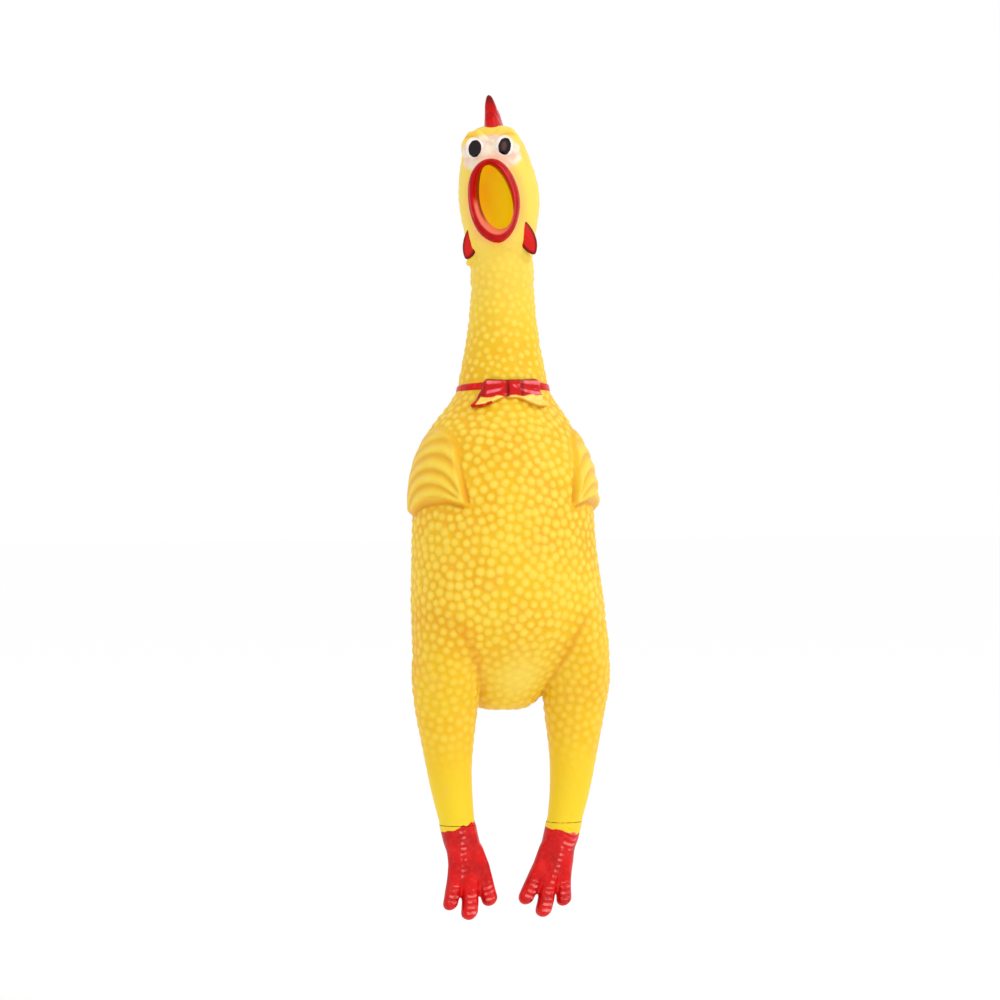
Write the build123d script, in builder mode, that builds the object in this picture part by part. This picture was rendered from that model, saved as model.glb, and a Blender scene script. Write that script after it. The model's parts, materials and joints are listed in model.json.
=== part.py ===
"""A squeeze-and-scream rubber chicken: a hollow moulded vinyl skin with a reed whistle in its throat.

Units are millimetres. The chicken is upright and faces -Y, so its own left side is at +X. The origin is the
centre of the waist, where a hand squeezes it. The skin is one moulding on the real toy. Here it is divided where
it bends, and each bending place is a hollow knuckle on one segment inside the open sleeve of the next.
"""

import math
import os

from build123d import *

# ---- Driving dimensions -------------------------------------------------------------------------------------
WALL = 1.8  # thickness of the moulded skin
CLEAR = 0.4  # gap between a piece that moves and its neighbour
TINY = 0.05  # gap of a push fit

NECK_Y = 3.0  # the neck stands a little behind the middle of the belly
COLLAR_LOW, COLLAR_HIGH, COLLAR_PROUD = 61.8, 67.4, 1.0
BOW_TURN = -6.5  # degrees about Z that the bow sits off the front
BOW_HALF_WIDTH, BOW_HALF_HEIGHT, BOW_KNOT = 13.4, 5.4, 2.3
BOW_BACK, BOW_FRONT = -8.0, -21.2

# Bending places: heights of the centres, and how far each one turns to either side, in degrees.
NECK_BEND_Z, NECK_BEND_RANGE, NECK_BEND_BALL = 76.5, 35.0, 9.5
NECK_SWAY_Z, NECK_SWAY_RANGE, NECK_SWAY_BALL = 93.5, 35.0, 8.0
HEAD_TURN_Z = 104.0
HIP_Z, HIP_RANGE, HIP_BALL = -56.0, 40.0, 7.0
KNEE_Z, KNEE_RANGE, KNEE_BALL = -75.5, 30.0, 5.6
ANKLE_Z, ANKLE_RANGE, ANKLE_BALL = -97.5, 35.0, 4.4

HEAD_TURN, HEAD_TILT = -22.0, -3.5  # how the head is held: turned about Z, tilted about its own Y

SQUEEZE_PLANE_Y = -13.5  # the breast is what stands in front of this plane
BREAST_HIGH, BREAST_LOW = 52.0, -40.0
BREAST_SKIRT = 2.0  # how far the breast reaches in behind that plane

# Cross-sections of the body: height, half width, half depth, centre in Y.
TORSO = [
    (-56.0, 8.5, 7.5, 5.5),
    (-50.0, 14.6, 13.5, 4.0),
    (-38.0, 23.5, 20.5, 0.5),
    (-20.0, 31.5, 26.5, -3.0),
    (0.0, 34.6, 28.5, -4.0),
    (24.0, 34.0, 27.5, -3.0),
    (43.0, 30.4, 24.0, -1.0),
    (55.0, 22.5, 19.5, 1.5),
    (62.0, 16.0, 15.6, 3.0),
]
# Neck: height, radius, centre in X, centre in Y. Its lowest row is buried in the body.
NECK = [
    (52.0, 16.6, 0.0, NECK_Y),
    (62.0, 17.3, 0.0, NECK_Y),
    (69.0, 16.3, 0.0, NECK_Y),
    (77.0, 14.4, 0.0, NECK_Y),
    (85.0, 13.1, 0.0, NECK_Y),
    (94.0, 12.1, 0.0, NECK_Y),
    (104.0, 11.3, 0.0, NECK_Y),
]
# Leg on the +X side, in the same columns. Its highest row is buried in the body.
LEG = [
    (-102.0, 6.3, 20.3, -1.5),
    (-88.0, 7.6, 22.9, -1.5),
    (-76.0, 8.4, 24.2, -1.5),
    (-66.0, 9.8, 24.6, -1.5),
    (-56.0, 11.2, 24.9, -1.5),
    (-45.0, 12.2, 25.2, -1.5),
    (-30.0, 12.4, 24.4, -1.0),
    (-12.0, 8.0, 20.5, 0.0),
]
# Foot below the ankle: height, half width, half depth, centre in X, centre in Y.
FOOT = [
    (-122.0, 9.6, 4.4, 14.9, -3.2),
    (-114.0, 7.8, 4.8, 16.6, -2.4),
    (-106.0, 6.5, 5.6, 19.0, -1.7),
    (-99.0, 6.5, 6.4, 20.9, -1.5),
]
# Toes: root and tip as (x, y, z), then the radius at each.
TOES = [
    ((19.6, -2.8, -112.0), (21.9, -4.6, -127.2), 2.9, 2.8),
    ((15.2, -3.2, -112.0), (14.0, -5.6, -131.3), 3.2, 3.1),
    ((11.6, -2.8, -112.0), (6.8, -4.6, -125.8), 3.2, 3.1),
    ((17.0, 0.6, -110.0), (17.2, 7.0, -116.5), 2.6, 2.2),
]
# Head, in its own frame: height, half width, half depth, centre in Y. It grows out of the round end of the neck.
HEAD_BASE_Z = 106.0
HEAD = [
    (10.0, 11.9, 12.6, -0.8),
    (18.0, 13.4, 14.8, -1.4),
    (28.0, 15.0, 16.4, -1.6),
    (38.0, 14.2, 16.0, -1.0),
    (47.0, 12.2, 14.2, 0.0),
    (53.5, 8.8, 10.6, 0.6),
    (56.5, 4.0, 5.6, 0.8),
]

MOUTH_H, MOUTH_HALF_WIDTH, MOUTH_HALF_HEIGHT = 29.6, 6.8, 13.4  # outside of the lining
MOUTH_FRONT, MOUTH_BACK = -19.4, 2.5
MUZZLE_BACK = -9.0
LINING_WALL = 1.0
LIP_PATH_OUT, LIP_HALF_WIDTH, LIP_PROUD = 0.8, 1.9, 2.6

THROAT_R, THROAT_TOP = 5.0, 22.0  # inside of the throat socket, which holds the whistle
WHISTLE_LOW, WHISTLE_HIGH, WHISTLE_WALL = 1.5, 14.5, 1.0
WHISTLE_PORT_R = 1.6
REED_HINGE_H, REED_TOP_H, REED_ROOT = 5.0, 12.4, 2.2
REED_THICK, REED_WIDE, REED_SLOT = 0.25, 3.0, 0.7
REED_CHANNEL_WIDE, REED_CHANNEL_DEEP = 2.0, 1.8

EYE_X, EYE_Y, EYE_H, EYE_R = 5.6, -9.2, 48.6, 4.8
# Side outline of the comb in the head's frame, as (y, height), from the forehead over the top to the nape.
COMB = [
    (-11.5, 47.0), (-10.5, 57.5), (-7.6, 56.0), (-5.8, 63.5), (-2.6, 60.0), (0.6, 69.5),
    (3.8, 61.5), (7.2, 65.5), (9.2, 57.5), (13.4, 57.0), (13.0, 44.0), (0.0, 40.0),
]
COMB_HALF_THICK, COMB_DRAFT = 2.6, 14.0
# Wattle on the +X side: outline as (y, height) in the head's frame.
WATTLE = [(-2.6, 21.0), (3.2, 20.0), (4.6, 13.0), (0.8, 7.4), (-3.4, 12.0)]
WATTLE_INNER_X, WATTLE_OUTER_X = 9.5, 14.2
# Wing outline from the side, as (y, z).
WING = [
    (-12.4, 44.0), (-4.0, 49.5), (8.0, 49.0), (17.0, 40.0),
    (18.0, 27.0), (10.0, 17.0), (-1.0, 15.5), (-12.4, 20.5),
]
WING_PROUD = 2.4

HEAD_FRAME = Plane(Location((0, NECK_Y, HEAD_BASE_Z), (0, HEAD_TILT, HEAD_TURN)))
BOW_FRAME = Plane(Location((0, NECK_Y, (COLLAR_LOW + COLLAR_HIGH) / 2 - 1.6), (0, 0, BOW_TURN)))


# ---- Shared forms -------------------------------------------------------------------------------------------
def oval_form(sections, grow=0.0):
    """A smooth solid through ovals (height, half width, half depth, y), each grown outwards by grow."""
    with BuildPart() as form:
        for height, half_width, half_depth, y in sections:
            with BuildSketch(Plane.XY.offset(height)):
                with Locations((0, y)):
                    Ellipse(half_width + grow, half_depth + grow)
        loft()
    return form.part


def round_form(sections, grow=0.0):
    """A smooth solid through circles (height, radius, x, y), each grown outwards by grow."""
    with BuildPart() as form:
        for height, radius, x, y in sections:
            with BuildSketch(Plane.XY.offset(height)):
                with Locations((x, y)):
                    Circle(radius + grow)
        loft()
    return form.part


def row_at(table, z):
    """The row of a section table at height z, by straight interpolation."""
    for lower, upper in zip(table, table[1:]):
        if lower[0] <= z <= upper[0]:
            share = (z - lower[0]) / (upper[0] - lower[0])
            return tuple(a + share * (b - a) for a, b in zip(lower, upper))
    raise ValueError(f"height {z} is outside the table")


def stretch(table, low, high):
    """The rows of a section table between two heights, with a row of its own at each end."""
    inner = [row for row in table if low + 1 < row[0] < high - 1]
    return [row_at(table, low), *inner, row_at(table, high)]


def end_gap(table, z, degrees):
    """How far a segment's end stays from the joint at height z, so that the ends don't meet at full bend."""
    return row_at(table, z)[1] * math.tan(math.radians(degrees / 2)) + CLEAR


def knuckle(table, z, ball, gap, side):
    """A hollow ball on a flat web, the inner half of a bending place. The sleeve over it is on side (+1 is up)."""
    _, _, x, y = row_at(table, z)
    web_z = z - side * gap
    web_radius = row_at(table, web_z)[1] - WALL / 2
    with BuildPart() as form:
        with Locations((x, y, z)):
            Sphere(ball)
        with BuildSketch(Plane.XY.offset(web_z)):
            with Locations((x, y)):
                Circle(web_radius)
        extrude(amount=-side * WALL)
        with Locations((x, y, z)):
            Sphere(ball - WALL, mode=Mode.SUBTRACT)
            Cylinder(ball * 0.5, 3 * ball, mode=Mode.SUBTRACT)
    return form.part


def side_plane(x, frame=Plane.XY):
    """A plane across X of a frame, whose own x runs along Y and own y runs up."""
    return Plane(frame.from_local_coords((x, 0, 0)), x_dir=frame.y_dir, z_dir=frame.x_dir)


def front_plane(y, height=0.0, frame=Plane.XY):
    """A plane across Y of a frame, looking out to the front, whose own y runs up."""
    return Plane(frame.from_local_coords((0, y, height)), x_dir=frame.x_dir, z_dir=-frame.y_dir)


def rounded_rod(start, end, start_radius, end_radius):
    """A tapered rod with round ends."""
    length = (Vector(end) - Vector(start)).length
    with BuildPart(Plane(start, z_dir=Vector(end) - Vector(start))) as form:
        Cone(start_radius, end_radius, length, align=(Align.CENTER, Align.CENTER, Align.MIN))
        Sphere(start_radius)
        with Locations((0, 0, length)):
            Sphere(end_radius)
    return form.part


# ---- Torso: the body with the roots of the thighs and the neck ---------------------------------------------
neck_bend_gap = end_gap(NECK, NECK_BEND_Z, NECK_BEND_RANGE)
neck_sway_gap = end_gap(NECK, NECK_SWAY_Z, NECK_SWAY_RANGE)
hip_gap = end_gap(LEG, HIP_Z, HIP_RANGE)
knee_gap = end_gap(LEG, KNEE_Z, KNEE_RANGE)
ankle_gap = end_gap(LEG, ANKLE_Z, ANKLE_RANGE)

neck_root = stretch(NECK, NECK[0][0], NECK_BEND_Z - neck_bend_gap)
thigh_root = stretch(LEG, HIP_Z + hip_gap, LEG[-1][0])
torso_form = oval_form(TORSO)
torso_hollow = oval_form(TORSO, -WALL)
neck_root_form = round_form(neck_root)
neck_root_hollow = round_form(neck_root, -WALL)
thigh_form = round_form(thigh_root)
thigh_hollow = round_form(thigh_root, -WALL)
neck_knuckle = knuckle(NECK, NECK_BEND_Z, NECK_BEND_BALL, neck_bend_gap, 1)
hip_knuckle = knuckle(LEG, HIP_Z, HIP_BALL, hip_gap, -1)

with BuildPart() as torso_skin:
    add(torso_form)
    add(neck_root_form)
    add(thigh_form)
    mirror(thigh_form, about=Plane.YZ)
    add(torso_hollow, mode=Mode.SUBTRACT)
    add(neck_root_hollow, mode=Mode.SUBTRACT)
    add(thigh_hollow, mode=Mode.SUBTRACT)
    mirror(thigh_hollow, about=Plane.YZ, mode=Mode.SUBTRACT)
    add(neck_knuckle)
    add(hip_knuckle)
    mirror(hip_knuckle, about=Plane.YZ)
    with BuildSketch(front_plane(SQUEEZE_PLANE_Y, (BREAST_HIGH + BREAST_LOW) / 2)):
        Rectangle(4 * TORSO[4][1], BREAST_HIGH - BREAST_LOW)
    extrude(amount=2 * TORSO[4][2], mode=Mode.SUBTRACT)

# ---- Breast: the front of the belly, which a hand presses in ------------------------------------------------
breast_form = oval_form(TORSO, -(WALL + CLEAR))
breast_hollow = oval_form(TORSO, -(2 * WALL + CLEAR))

with BuildPart() as breast_skin:
    add(breast_form)
    add(breast_hollow, mode=Mode.SUBTRACT)
    with BuildSketch(front_plane(SQUEEZE_PLANE_Y + BREAST_SKIRT, (BREAST_HIGH + BREAST_LOW) / 2)):
        Rectangle(4 * TORSO[4][1], BREAST_HIGH - BREAST_LOW - 2 * CLEAR)
    extrude(amount=2 * TORSO[4][2], mode=Mode.INTERSECT)

# ---- Wings: raised plates on the flanks ---------------------------------------------------------------------
wing_outer_form = oval_form(TORSO, WING_PROUD)
body_forms = [torso_form, neck_root_form, thigh_form]

with BuildPart() as wing_left:
    with BuildSketch(side_plane(10)):
        with BuildLine():
            Spline(*WING)
            Line(WING[-1], WING[0])
        make_face()
    extrude(amount=40)
    add(wing_outer_form, mode=Mode.INTERSECT)
    for form in body_forms:
        add(form, mode=Mode.SUBTRACT)

with BuildPart() as wing_right:
    mirror(wing_left.part, about=Plane.YZ)

# ---- Collar and bow tie, moulded on the root of the neck ----------------------------------------------------
collar_rows = stretch(NECK, COLLAR_LOW, COLLAR_HIGH)
collar_form = round_form(collar_rows, COLLAR_PROUD)

with BuildPart() as collar_band:
    add(collar_form)
    add(neck_root_form, mode=Mode.SUBTRACT)

with BuildPart() as bow_tie:
    with BuildSketch(front_plane(BOW_BACK, 0, BOW_FRAME)):
        with BuildLine():
            Polyline(
                (0, BOW_KNOT),
                (BOW_HALF_WIDTH, BOW_HALF_HEIGHT),
                (BOW_HALF_WIDTH, -BOW_HALF_HEIGHT),
                (0, -BOW_KNOT),
                (-BOW_HALF_WIDTH, -BOW_HALF_HEIGHT),
                (-BOW_HALF_WIDTH, BOW_HALF_HEIGHT),
                close=True,
            )
        make_face()
        fillet(vertices(), 1.2)
    extrude(amount=BOW_BACK - BOW_FRONT)
    with BuildSketch(BOW_FRAME.offset(-2 * BOW_HALF_HEIGHT)):
        Circle(-BOW_FRONT)
    extrude(amount=4 * BOW_HALF_HEIGHT, mode=Mode.INTERSECT)
    for form in [torso_form, neck_root_form, collar_form]:
        add(form, mode=Mode.SUBTRACT)

# ---- Neck ---------------------------------------------------------------------------------------------------
neck_lower_rows = stretch(NECK, NECK_BEND_Z + neck_bend_gap, NECK_SWAY_Z - neck_sway_gap)
neck_lower_form = round_form(neck_lower_rows)
neck_lower_hollow = round_form(neck_lower_rows, -WALL)
neck_sway_knuckle = knuckle(NECK, NECK_SWAY_Z, NECK_SWAY_BALL, neck_sway_gap, 1)

with BuildPart() as neck_lower_skin:
    add(neck_lower_form)
    add(neck_lower_hollow, mode=Mode.SUBTRACT)
    add(neck_sway_knuckle)

neck_upper_rows = stretch(NECK, NECK_SWAY_Z + neck_sway_gap, HEAD_TURN_Z - CLEAR / 2)
neck_upper_form = round_form(neck_upper_rows)
neck_upper_hollow = round_form(neck_upper_rows, -WALL)

with BuildPart() as neck_upper_skin:
    add(neck_upper_form)
    add(neck_upper_hollow, mode=Mode.SUBTRACT)

# ---- Head ---------------------------------------------------------------------------------------------------
def head_form(grow=0.0):
    """The head from the neck's round end to the crown, grown outwards by grow."""
    neck_end = Plane(Location((0, NECK_Y, HEAD_TURN_Z + CLEAR / 2), (0, 0, HEAD_TURN)))
    with BuildPart() as form:
        with BuildSketch(neck_end):
            Circle(NECK[-1][1] + grow)
        for height, half_width, half_depth, y in HEAD:
            with BuildSketch(HEAD_FRAME.offset(height)):
                with Locations((0, y)):
                    Ellipse(half_width + grow, half_depth + grow)
        loft()
    return form.part


head_outside = head_form()
head_inside = head_form(-WALL)

with BuildPart() as muzzle:
    with BuildSketch(front_plane(MUZZLE_BACK, MOUTH_H, HEAD_FRAME)):
        Ellipse(MOUTH_HALF_WIDTH + WALL, MOUTH_HALF_HEIGHT + WALL)
    extrude(amount=MUZZLE_BACK - MOUTH_FRONT)

with BuildPart() as lining_outside:
    with BuildSketch(front_plane(MOUTH_BACK, MOUTH_H, HEAD_FRAME)):
        Ellipse(MOUTH_HALF_WIDTH, MOUTH_HALF_HEIGHT)
    extrude(amount=MOUTH_BACK - MOUTH_FRONT)
    with BuildSketch(HEAD_FRAME.offset(WHISTLE_LOW)):
        Circle(THROAT_R + LINING_WALL)
    extrude(amount=THROAT_TOP - WHISTLE_LOW)

with BuildPart() as mouth_lining:
    add(lining_outside.part)
    with BuildSketch(front_plane(MOUTH_BACK - LINING_WALL, MOUTH_H, HEAD_FRAME)):
        Ellipse(MOUTH_HALF_WIDTH - LINING_WALL, MOUTH_HALF_HEIGHT - LINING_WALL)
    extrude(amount=MOUTH_BACK - MOUTH_FRONT, mode=Mode.SUBTRACT)
    with BuildSketch(HEAD_FRAME.offset(WHISTLE_LOW)):
        Circle(THROAT_R)
    extrude(amount=THROAT_TOP - LINING_WALL - WHISTLE_LOW, mode=Mode.SUBTRACT)

with BuildPart() as head_skin:
    add(head_outside)
    add(muzzle.part)
    add(head_inside, mode=Mode.SUBTRACT)
    add(lining_outside.part, mode=Mode.SUBTRACT)

with BuildPart() as beak_rim:
    with BuildLine(front_plane(MOUTH_FRONT, MOUTH_H, HEAD_FRAME)) as lip_path:
        EllipticalCenterArc(
            (0, 0), MOUTH_HALF_WIDTH + LIP_PATH_OUT, MOUTH_HALF_HEIGHT + LIP_PATH_OUT, arc_size=360
        )
    with BuildSketch(Plane(lip_path.line @ 0, x_dir=HEAD_FRAME.x_dir, z_dir=lip_path.line % 0)):
        Ellipse(LIP_HALF_WIDTH, LIP_PROUD)
    sweep(path=lip_path.line)
    split(bisect_by=front_plane(MOUTH_FRONT, MOUTH_H, HEAD_FRAME), keep=Keep.TOP)

with BuildPart() as comb:
    with BuildSketch(side_plane(0, HEAD_FRAME)) as comb_sketch:
        with BuildLine():
            Polyline(*COMB, close=True)
        make_face()
    extrude(amount=COMB_HALF_THICK, both=True, taper=COMB_DRAFT)
    add(head_outside, mode=Mode.SUBTRACT)


def wattle_form(side):
    """A leaf-shaped lobe on one side of the jaw (side is +1 or -1)."""
    with BuildPart() as form:
        with BuildSketch(side_plane(side * WATTLE_INNER_X, HEAD_FRAME)):
            with BuildLine():
                Spline(*WATTLE, periodic=True)
            make_face()
        extrude(amount=side * (WATTLE_OUTER_X - WATTLE_INNER_X))
    return form.part


def eye_form(side):
    """A round eyeball set in the brow (side is +1 or -1)."""
    with BuildPart(HEAD_FRAME) as form:
        with Locations((side * EYE_X, EYE_Y, EYE_H)):
            Sphere(EYE_R)
    return form.part


wattle_forms = {side: wattle_form(side) for side in (1, -1)}
eye_forms = {side: eye_form(side) for side in (1, -1)}

with BuildPart() as wattle_left:
    add(wattle_forms[1])
    add(head_outside, mode=Mode.SUBTRACT)

with BuildPart() as wattle_right:
    add(wattle_forms[-1])
    add(head_outside, mode=Mode.SUBTRACT)

with BuildPart() as eye_left:
    add(eye_forms[1])
    add(head_outside, mode=Mode.SUBTRACT)
    add(muzzle.part, mode=Mode.SUBTRACT)

with BuildPart() as eye_right:
    add(eye_forms[-1])
    add(head_outside, mode=Mode.SUBTRACT)
    add(muzzle.part, mode=Mode.SUBTRACT)

# ---- Whistle: a tube with a reed clamped on a half-round shoe ------------------------------------------------
whistle_r = THROAT_R - TINY
whistle_bore = whistle_r - WHISTLE_WALL
core_r = whistle_bore - TINY
reed_low = REED_HINGE_H - REED_ROOT
whistle_length = WHISTLE_HIGH - WHISTLE_LOW
STANDING = (Align.CENTER, Align.CENTER, Align.MIN)  # centred in X and Y, and standing on its place in Z

with BuildPart(HEAD_FRAME) as whistle_housing:
    with Locations((0, 0, WHISTLE_LOW)):
        Cylinder(whistle_r, whistle_length, align=STANDING)
        Cylinder(whistle_bore, whistle_length - WHISTLE_WALL, align=STANDING, mode=Mode.SUBTRACT)
        Cylinder(WHISTLE_PORT_R, whistle_length, align=STANDING, mode=Mode.SUBTRACT)

with BuildPart(HEAD_FRAME) as reed_shoe:
    with Locations((0, 0, reed_low)):
        Cylinder(core_r, REED_TOP_H - reed_low, align=STANDING)
        Box(2 * core_r, core_r, REED_TOP_H, align=(Align.CENTER, Align.MAX, Align.MIN), mode=Mode.SUBTRACT)
    with Locations((0, 0, REED_HINGE_H)):
        Box(REED_CHANNEL_WIDE, 2 * REED_CHANNEL_DEEP, REED_TOP_H, align=STANDING, mode=Mode.SUBTRACT)

with BuildPart(HEAD_FRAME) as reed_wedge:
    with Locations((0, 0, reed_low)):
        Cylinder(core_r, REED_ROOT, align=STANDING)
    with Locations((0, -REED_SLOT, reed_low)):
        Box(2 * core_r, 2 * core_r, REED_ROOT, align=(Align.CENTER, Align.MIN, Align.MIN), mode=Mode.SUBTRACT)

with BuildPart(HEAD_FRAME) as reed_tongue:
    with Locations((0, -REED_SLOT / 2, reed_low + TINY)):
        Box(REED_WIDE, REED_THICK, REED_TOP_H - reed_low - TINY, align=STANDING)

# ---- Legs ---------------------------------------------------------------------------------------------------
upper_rows = stretch(LEG, KNEE_Z + knee_gap, HIP_Z - hip_gap)
upper_form = round_form(upper_rows)
upper_hollow = round_form(upper_rows, -WALL)
knee_knuckle = knuckle(LEG, KNEE_Z, KNEE_BALL, knee_gap, -1)

with BuildPart() as leg_upper_left:
    add(upper_form)
    add(upper_hollow, mode=Mode.SUBTRACT)
    add(knee_knuckle)

lower_rows = stretch(LEG, ANKLE_Z + ankle_gap, KNEE_Z - knee_gap)
lower_form = round_form(lower_rows)
lower_hollow = round_form(lower_rows, -WALL)
ankle_knuckle = knuckle(LEG, ANKLE_Z, ANKLE_BALL, ankle_gap, -1)

with BuildPart() as leg_lower_left:
    add(lower_form)
    add(lower_hollow, mode=Mode.SUBTRACT)
    add(ankle_knuckle)

toe_forms = [rounded_rod(*toe) for toe in TOES]
ankle_x, ankle_y = row_at(LEG, ANKLE_Z)[2:]

with BuildPart() as foot_left:
    for height, half_width, half_depth, x, y in FOOT[:-1] + [(ANKLE_Z - ankle_gap, *FOOT[-1][1:])]:
        with BuildSketch(Plane.XY.offset(height)):
            with Locations((x, y)):
                Ellipse(half_width, half_depth)
    loft()
    for form in toe_forms:
        add(form)
    with Locations((ankle_x, ankle_y, ANKLE_Z)):
        Sphere(ANKLE_BALL + 2 * CLEAR, mode=Mode.SUBTRACT)

with BuildPart() as leg_upper_right:
    mirror(leg_upper_left.part, about=Plane.YZ)

with BuildPart() as leg_lower_right:
    mirror(leg_lower_left.part, about=Plane.YZ)

with BuildPart() as foot_right:
    mirror(foot_left.part, about=Plane.YZ)

# ---- Files --------------------------------------------------------------------------------------------------
PIECES = {
    "torso_skin": torso_skin,
    "breast_skin": breast_skin,
    "wing_left": wing_left,
    "wing_right": wing_right,
    "collar_band": collar_band,
    "bow_tie": bow_tie,
    "neck_lower_skin": neck_lower_skin,
    "neck_upper_skin": neck_upper_skin,
    "head_skin": head_skin,
    "beak_rim": beak_rim,
    "mouth_lining": mouth_lining,
    "comb": comb,
    "wattle_left": wattle_left,
    "wattle_right": wattle_right,
    "eye_left": eye_left,
    "eye_right": eye_right,
    "whistle_housing": whistle_housing,
    "reed_shoe": reed_shoe,
    "reed_wedge": reed_wedge,
    "reed_tongue": reed_tongue,
    "leg_upper_left": leg_upper_left,
    "leg_upper_right": leg_upper_right,
    "leg_lower_left": leg_lower_left,
    "leg_lower_right": leg_lower_right,
    "foot_left": foot_left,
    "foot_right": foot_right,
}

os.makedirs("parts", exist_ok=True)
for name, piece in PIECES.items():
    piece.part.label = name
    export_step(piece.part, f"parts/{name}.step")
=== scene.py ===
import json
import math
from random import Random

import bpy
import numpy as np
import openvdb
from mathutils import Matrix, Vector
from mathutils.kdtree import KDTree


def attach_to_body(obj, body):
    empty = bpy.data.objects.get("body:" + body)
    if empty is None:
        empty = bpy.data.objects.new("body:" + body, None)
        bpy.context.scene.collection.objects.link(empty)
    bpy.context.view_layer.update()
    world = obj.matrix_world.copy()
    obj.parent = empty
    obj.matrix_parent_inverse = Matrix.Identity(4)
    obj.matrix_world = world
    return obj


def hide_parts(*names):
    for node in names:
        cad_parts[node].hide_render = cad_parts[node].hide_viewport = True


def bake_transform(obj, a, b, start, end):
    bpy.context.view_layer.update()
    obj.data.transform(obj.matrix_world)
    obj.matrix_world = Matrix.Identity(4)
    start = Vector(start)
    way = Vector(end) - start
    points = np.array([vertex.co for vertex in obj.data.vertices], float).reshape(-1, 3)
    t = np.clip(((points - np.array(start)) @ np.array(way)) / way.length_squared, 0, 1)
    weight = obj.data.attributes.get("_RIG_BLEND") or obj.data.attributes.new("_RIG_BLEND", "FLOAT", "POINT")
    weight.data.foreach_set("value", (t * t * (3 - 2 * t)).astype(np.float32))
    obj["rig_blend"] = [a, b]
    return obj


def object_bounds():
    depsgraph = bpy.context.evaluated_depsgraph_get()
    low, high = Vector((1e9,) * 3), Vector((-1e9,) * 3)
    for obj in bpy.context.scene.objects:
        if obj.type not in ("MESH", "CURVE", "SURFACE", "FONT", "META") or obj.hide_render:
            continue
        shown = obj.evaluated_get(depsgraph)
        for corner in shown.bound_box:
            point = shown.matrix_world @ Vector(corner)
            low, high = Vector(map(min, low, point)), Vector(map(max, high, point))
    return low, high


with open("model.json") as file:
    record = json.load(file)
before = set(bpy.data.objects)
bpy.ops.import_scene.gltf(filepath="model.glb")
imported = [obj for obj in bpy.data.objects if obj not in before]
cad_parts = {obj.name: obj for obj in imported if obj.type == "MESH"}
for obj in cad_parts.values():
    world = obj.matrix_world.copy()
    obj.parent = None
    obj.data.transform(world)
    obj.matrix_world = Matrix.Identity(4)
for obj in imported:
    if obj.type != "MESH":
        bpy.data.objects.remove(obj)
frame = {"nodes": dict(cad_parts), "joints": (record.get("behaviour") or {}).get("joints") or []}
CAD_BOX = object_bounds()

# ---- Frame: joints and the head's own axes, in millimetres ----
MM = 0.001
JOINTS = {j["name"]: j for j in frame["joints"]}
JOINT_POINT = {n: np.array(j["pos_m"]) / MM for n, j in JOINTS.items() if "pos_m" in j}
NECK_Y = JOINT_POINT["head_turn"][1]
HEAD_ORIGIN = JOINT_POINT["head_turn"] + (0, 0, 2)
HEAD_X = Vector(JOINTS["reed_beat"]["axis"])  # the reed turns about the head's own X axis
HEAD_TURN = math.asin(HEAD_X.y)
HEAD_TILT = math.atan2(-HEAD_X.z, HEAD_X.x)
HEAD_AXES = np.array(Matrix.Rotation(HEAD_TILT, 3, "Y") @ Matrix.Rotation(HEAD_TURN, 3, "Z"))
BOW_TURN = math.radians(-6.5)
Y_AXIS, Z_AXIS = 1, 2
SIDES = (("left", 1), ("right", -1))  # and the sign of X there

# Heights where one piece of skin ends and the next starts, and where each one bends.
NECK_CUTS = (68.2, 85.8, 102.0)
LEG_CUTS = (-53.0, -68.0, -85.0)
NECK_BENDS = {"neck_bend": (68.4, 85.6), "neck_sway": (86.0, 101.6), "head_turn": (102.4, 113.0)}
LEG_BENDS = {"hip": (-53.2, -67.0), "knee": (-69.0, -83.0), "ankle": (-91.0, -104.0)}
LEG_INNER_X, LEG_TOP = 12.6, -60.0  # the legs are outside this X, or below this height
BREAST_DENT = (-11.0, -32.5)  # Y where the squeeze starts to move the skin, and where it moves it fully

# ---- Shape tables, in millimetres ----
# Body: height, half width, half depth, centre in X, centre in Y.
BODY = [
    (-56.2, 9.5, 8.5, 0, 5.0), (-54.0, 12.0, 10.5, 0, 4.8), (-50.0, 15.0, 13.6, 0, 4.0),
    (-45.0, 19.4, 17.0, 0, 2.6), (-38.0, 25.6, 21.0, 0, 0.5), (-28.0, 32.0, 25.0, -0.4, -1.8),
    (-18.0, 34.4, 27.4, -1.0, -3.2), (-8.0, 34.8, 28.4, -1.6, -3.8), (4.0, 34.5, 28.6, -1.9, -4.0),
    (16.0, 34.1, 28.3, -1.9, -3.7), (28.0, 33.7, 27.6, -1.9, -3.0), (38.0, 32.4, 26.4, -1.6, -2.0),
    (45.0, 29.9, 24.4, -1.5, -0.8), (51.0, 25.8, 22.0, -1.1, 0.6), (56.0, 22.2, 19.4, -0.4, 1.8),
    (62.0, 17.6, 16.6, 0, 3.0), (66.0, 15.6, 15.0, 0, 3.0),
]
NECK = [
    (50.0, 15.0, 15.0, 0, 3), (60.0, 17.4, 17.0, 0, 3), (66.0, 16.7, 16.6, 0, 3), (72.0, 15.7, 15.7, 0, 3),
    (78.0, 14.3, 14.3, 0, 3), (84.0, 13.4, 13.4, 0, 3), (90.0, 12.6, 12.6, 0, 3), (97.0, 12.0, 12.0, 0, 3),
    (103.0, 11.5, 11.5, 0, 3), (112.0, 11.0, 11.0, 0, 3),
]
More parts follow.
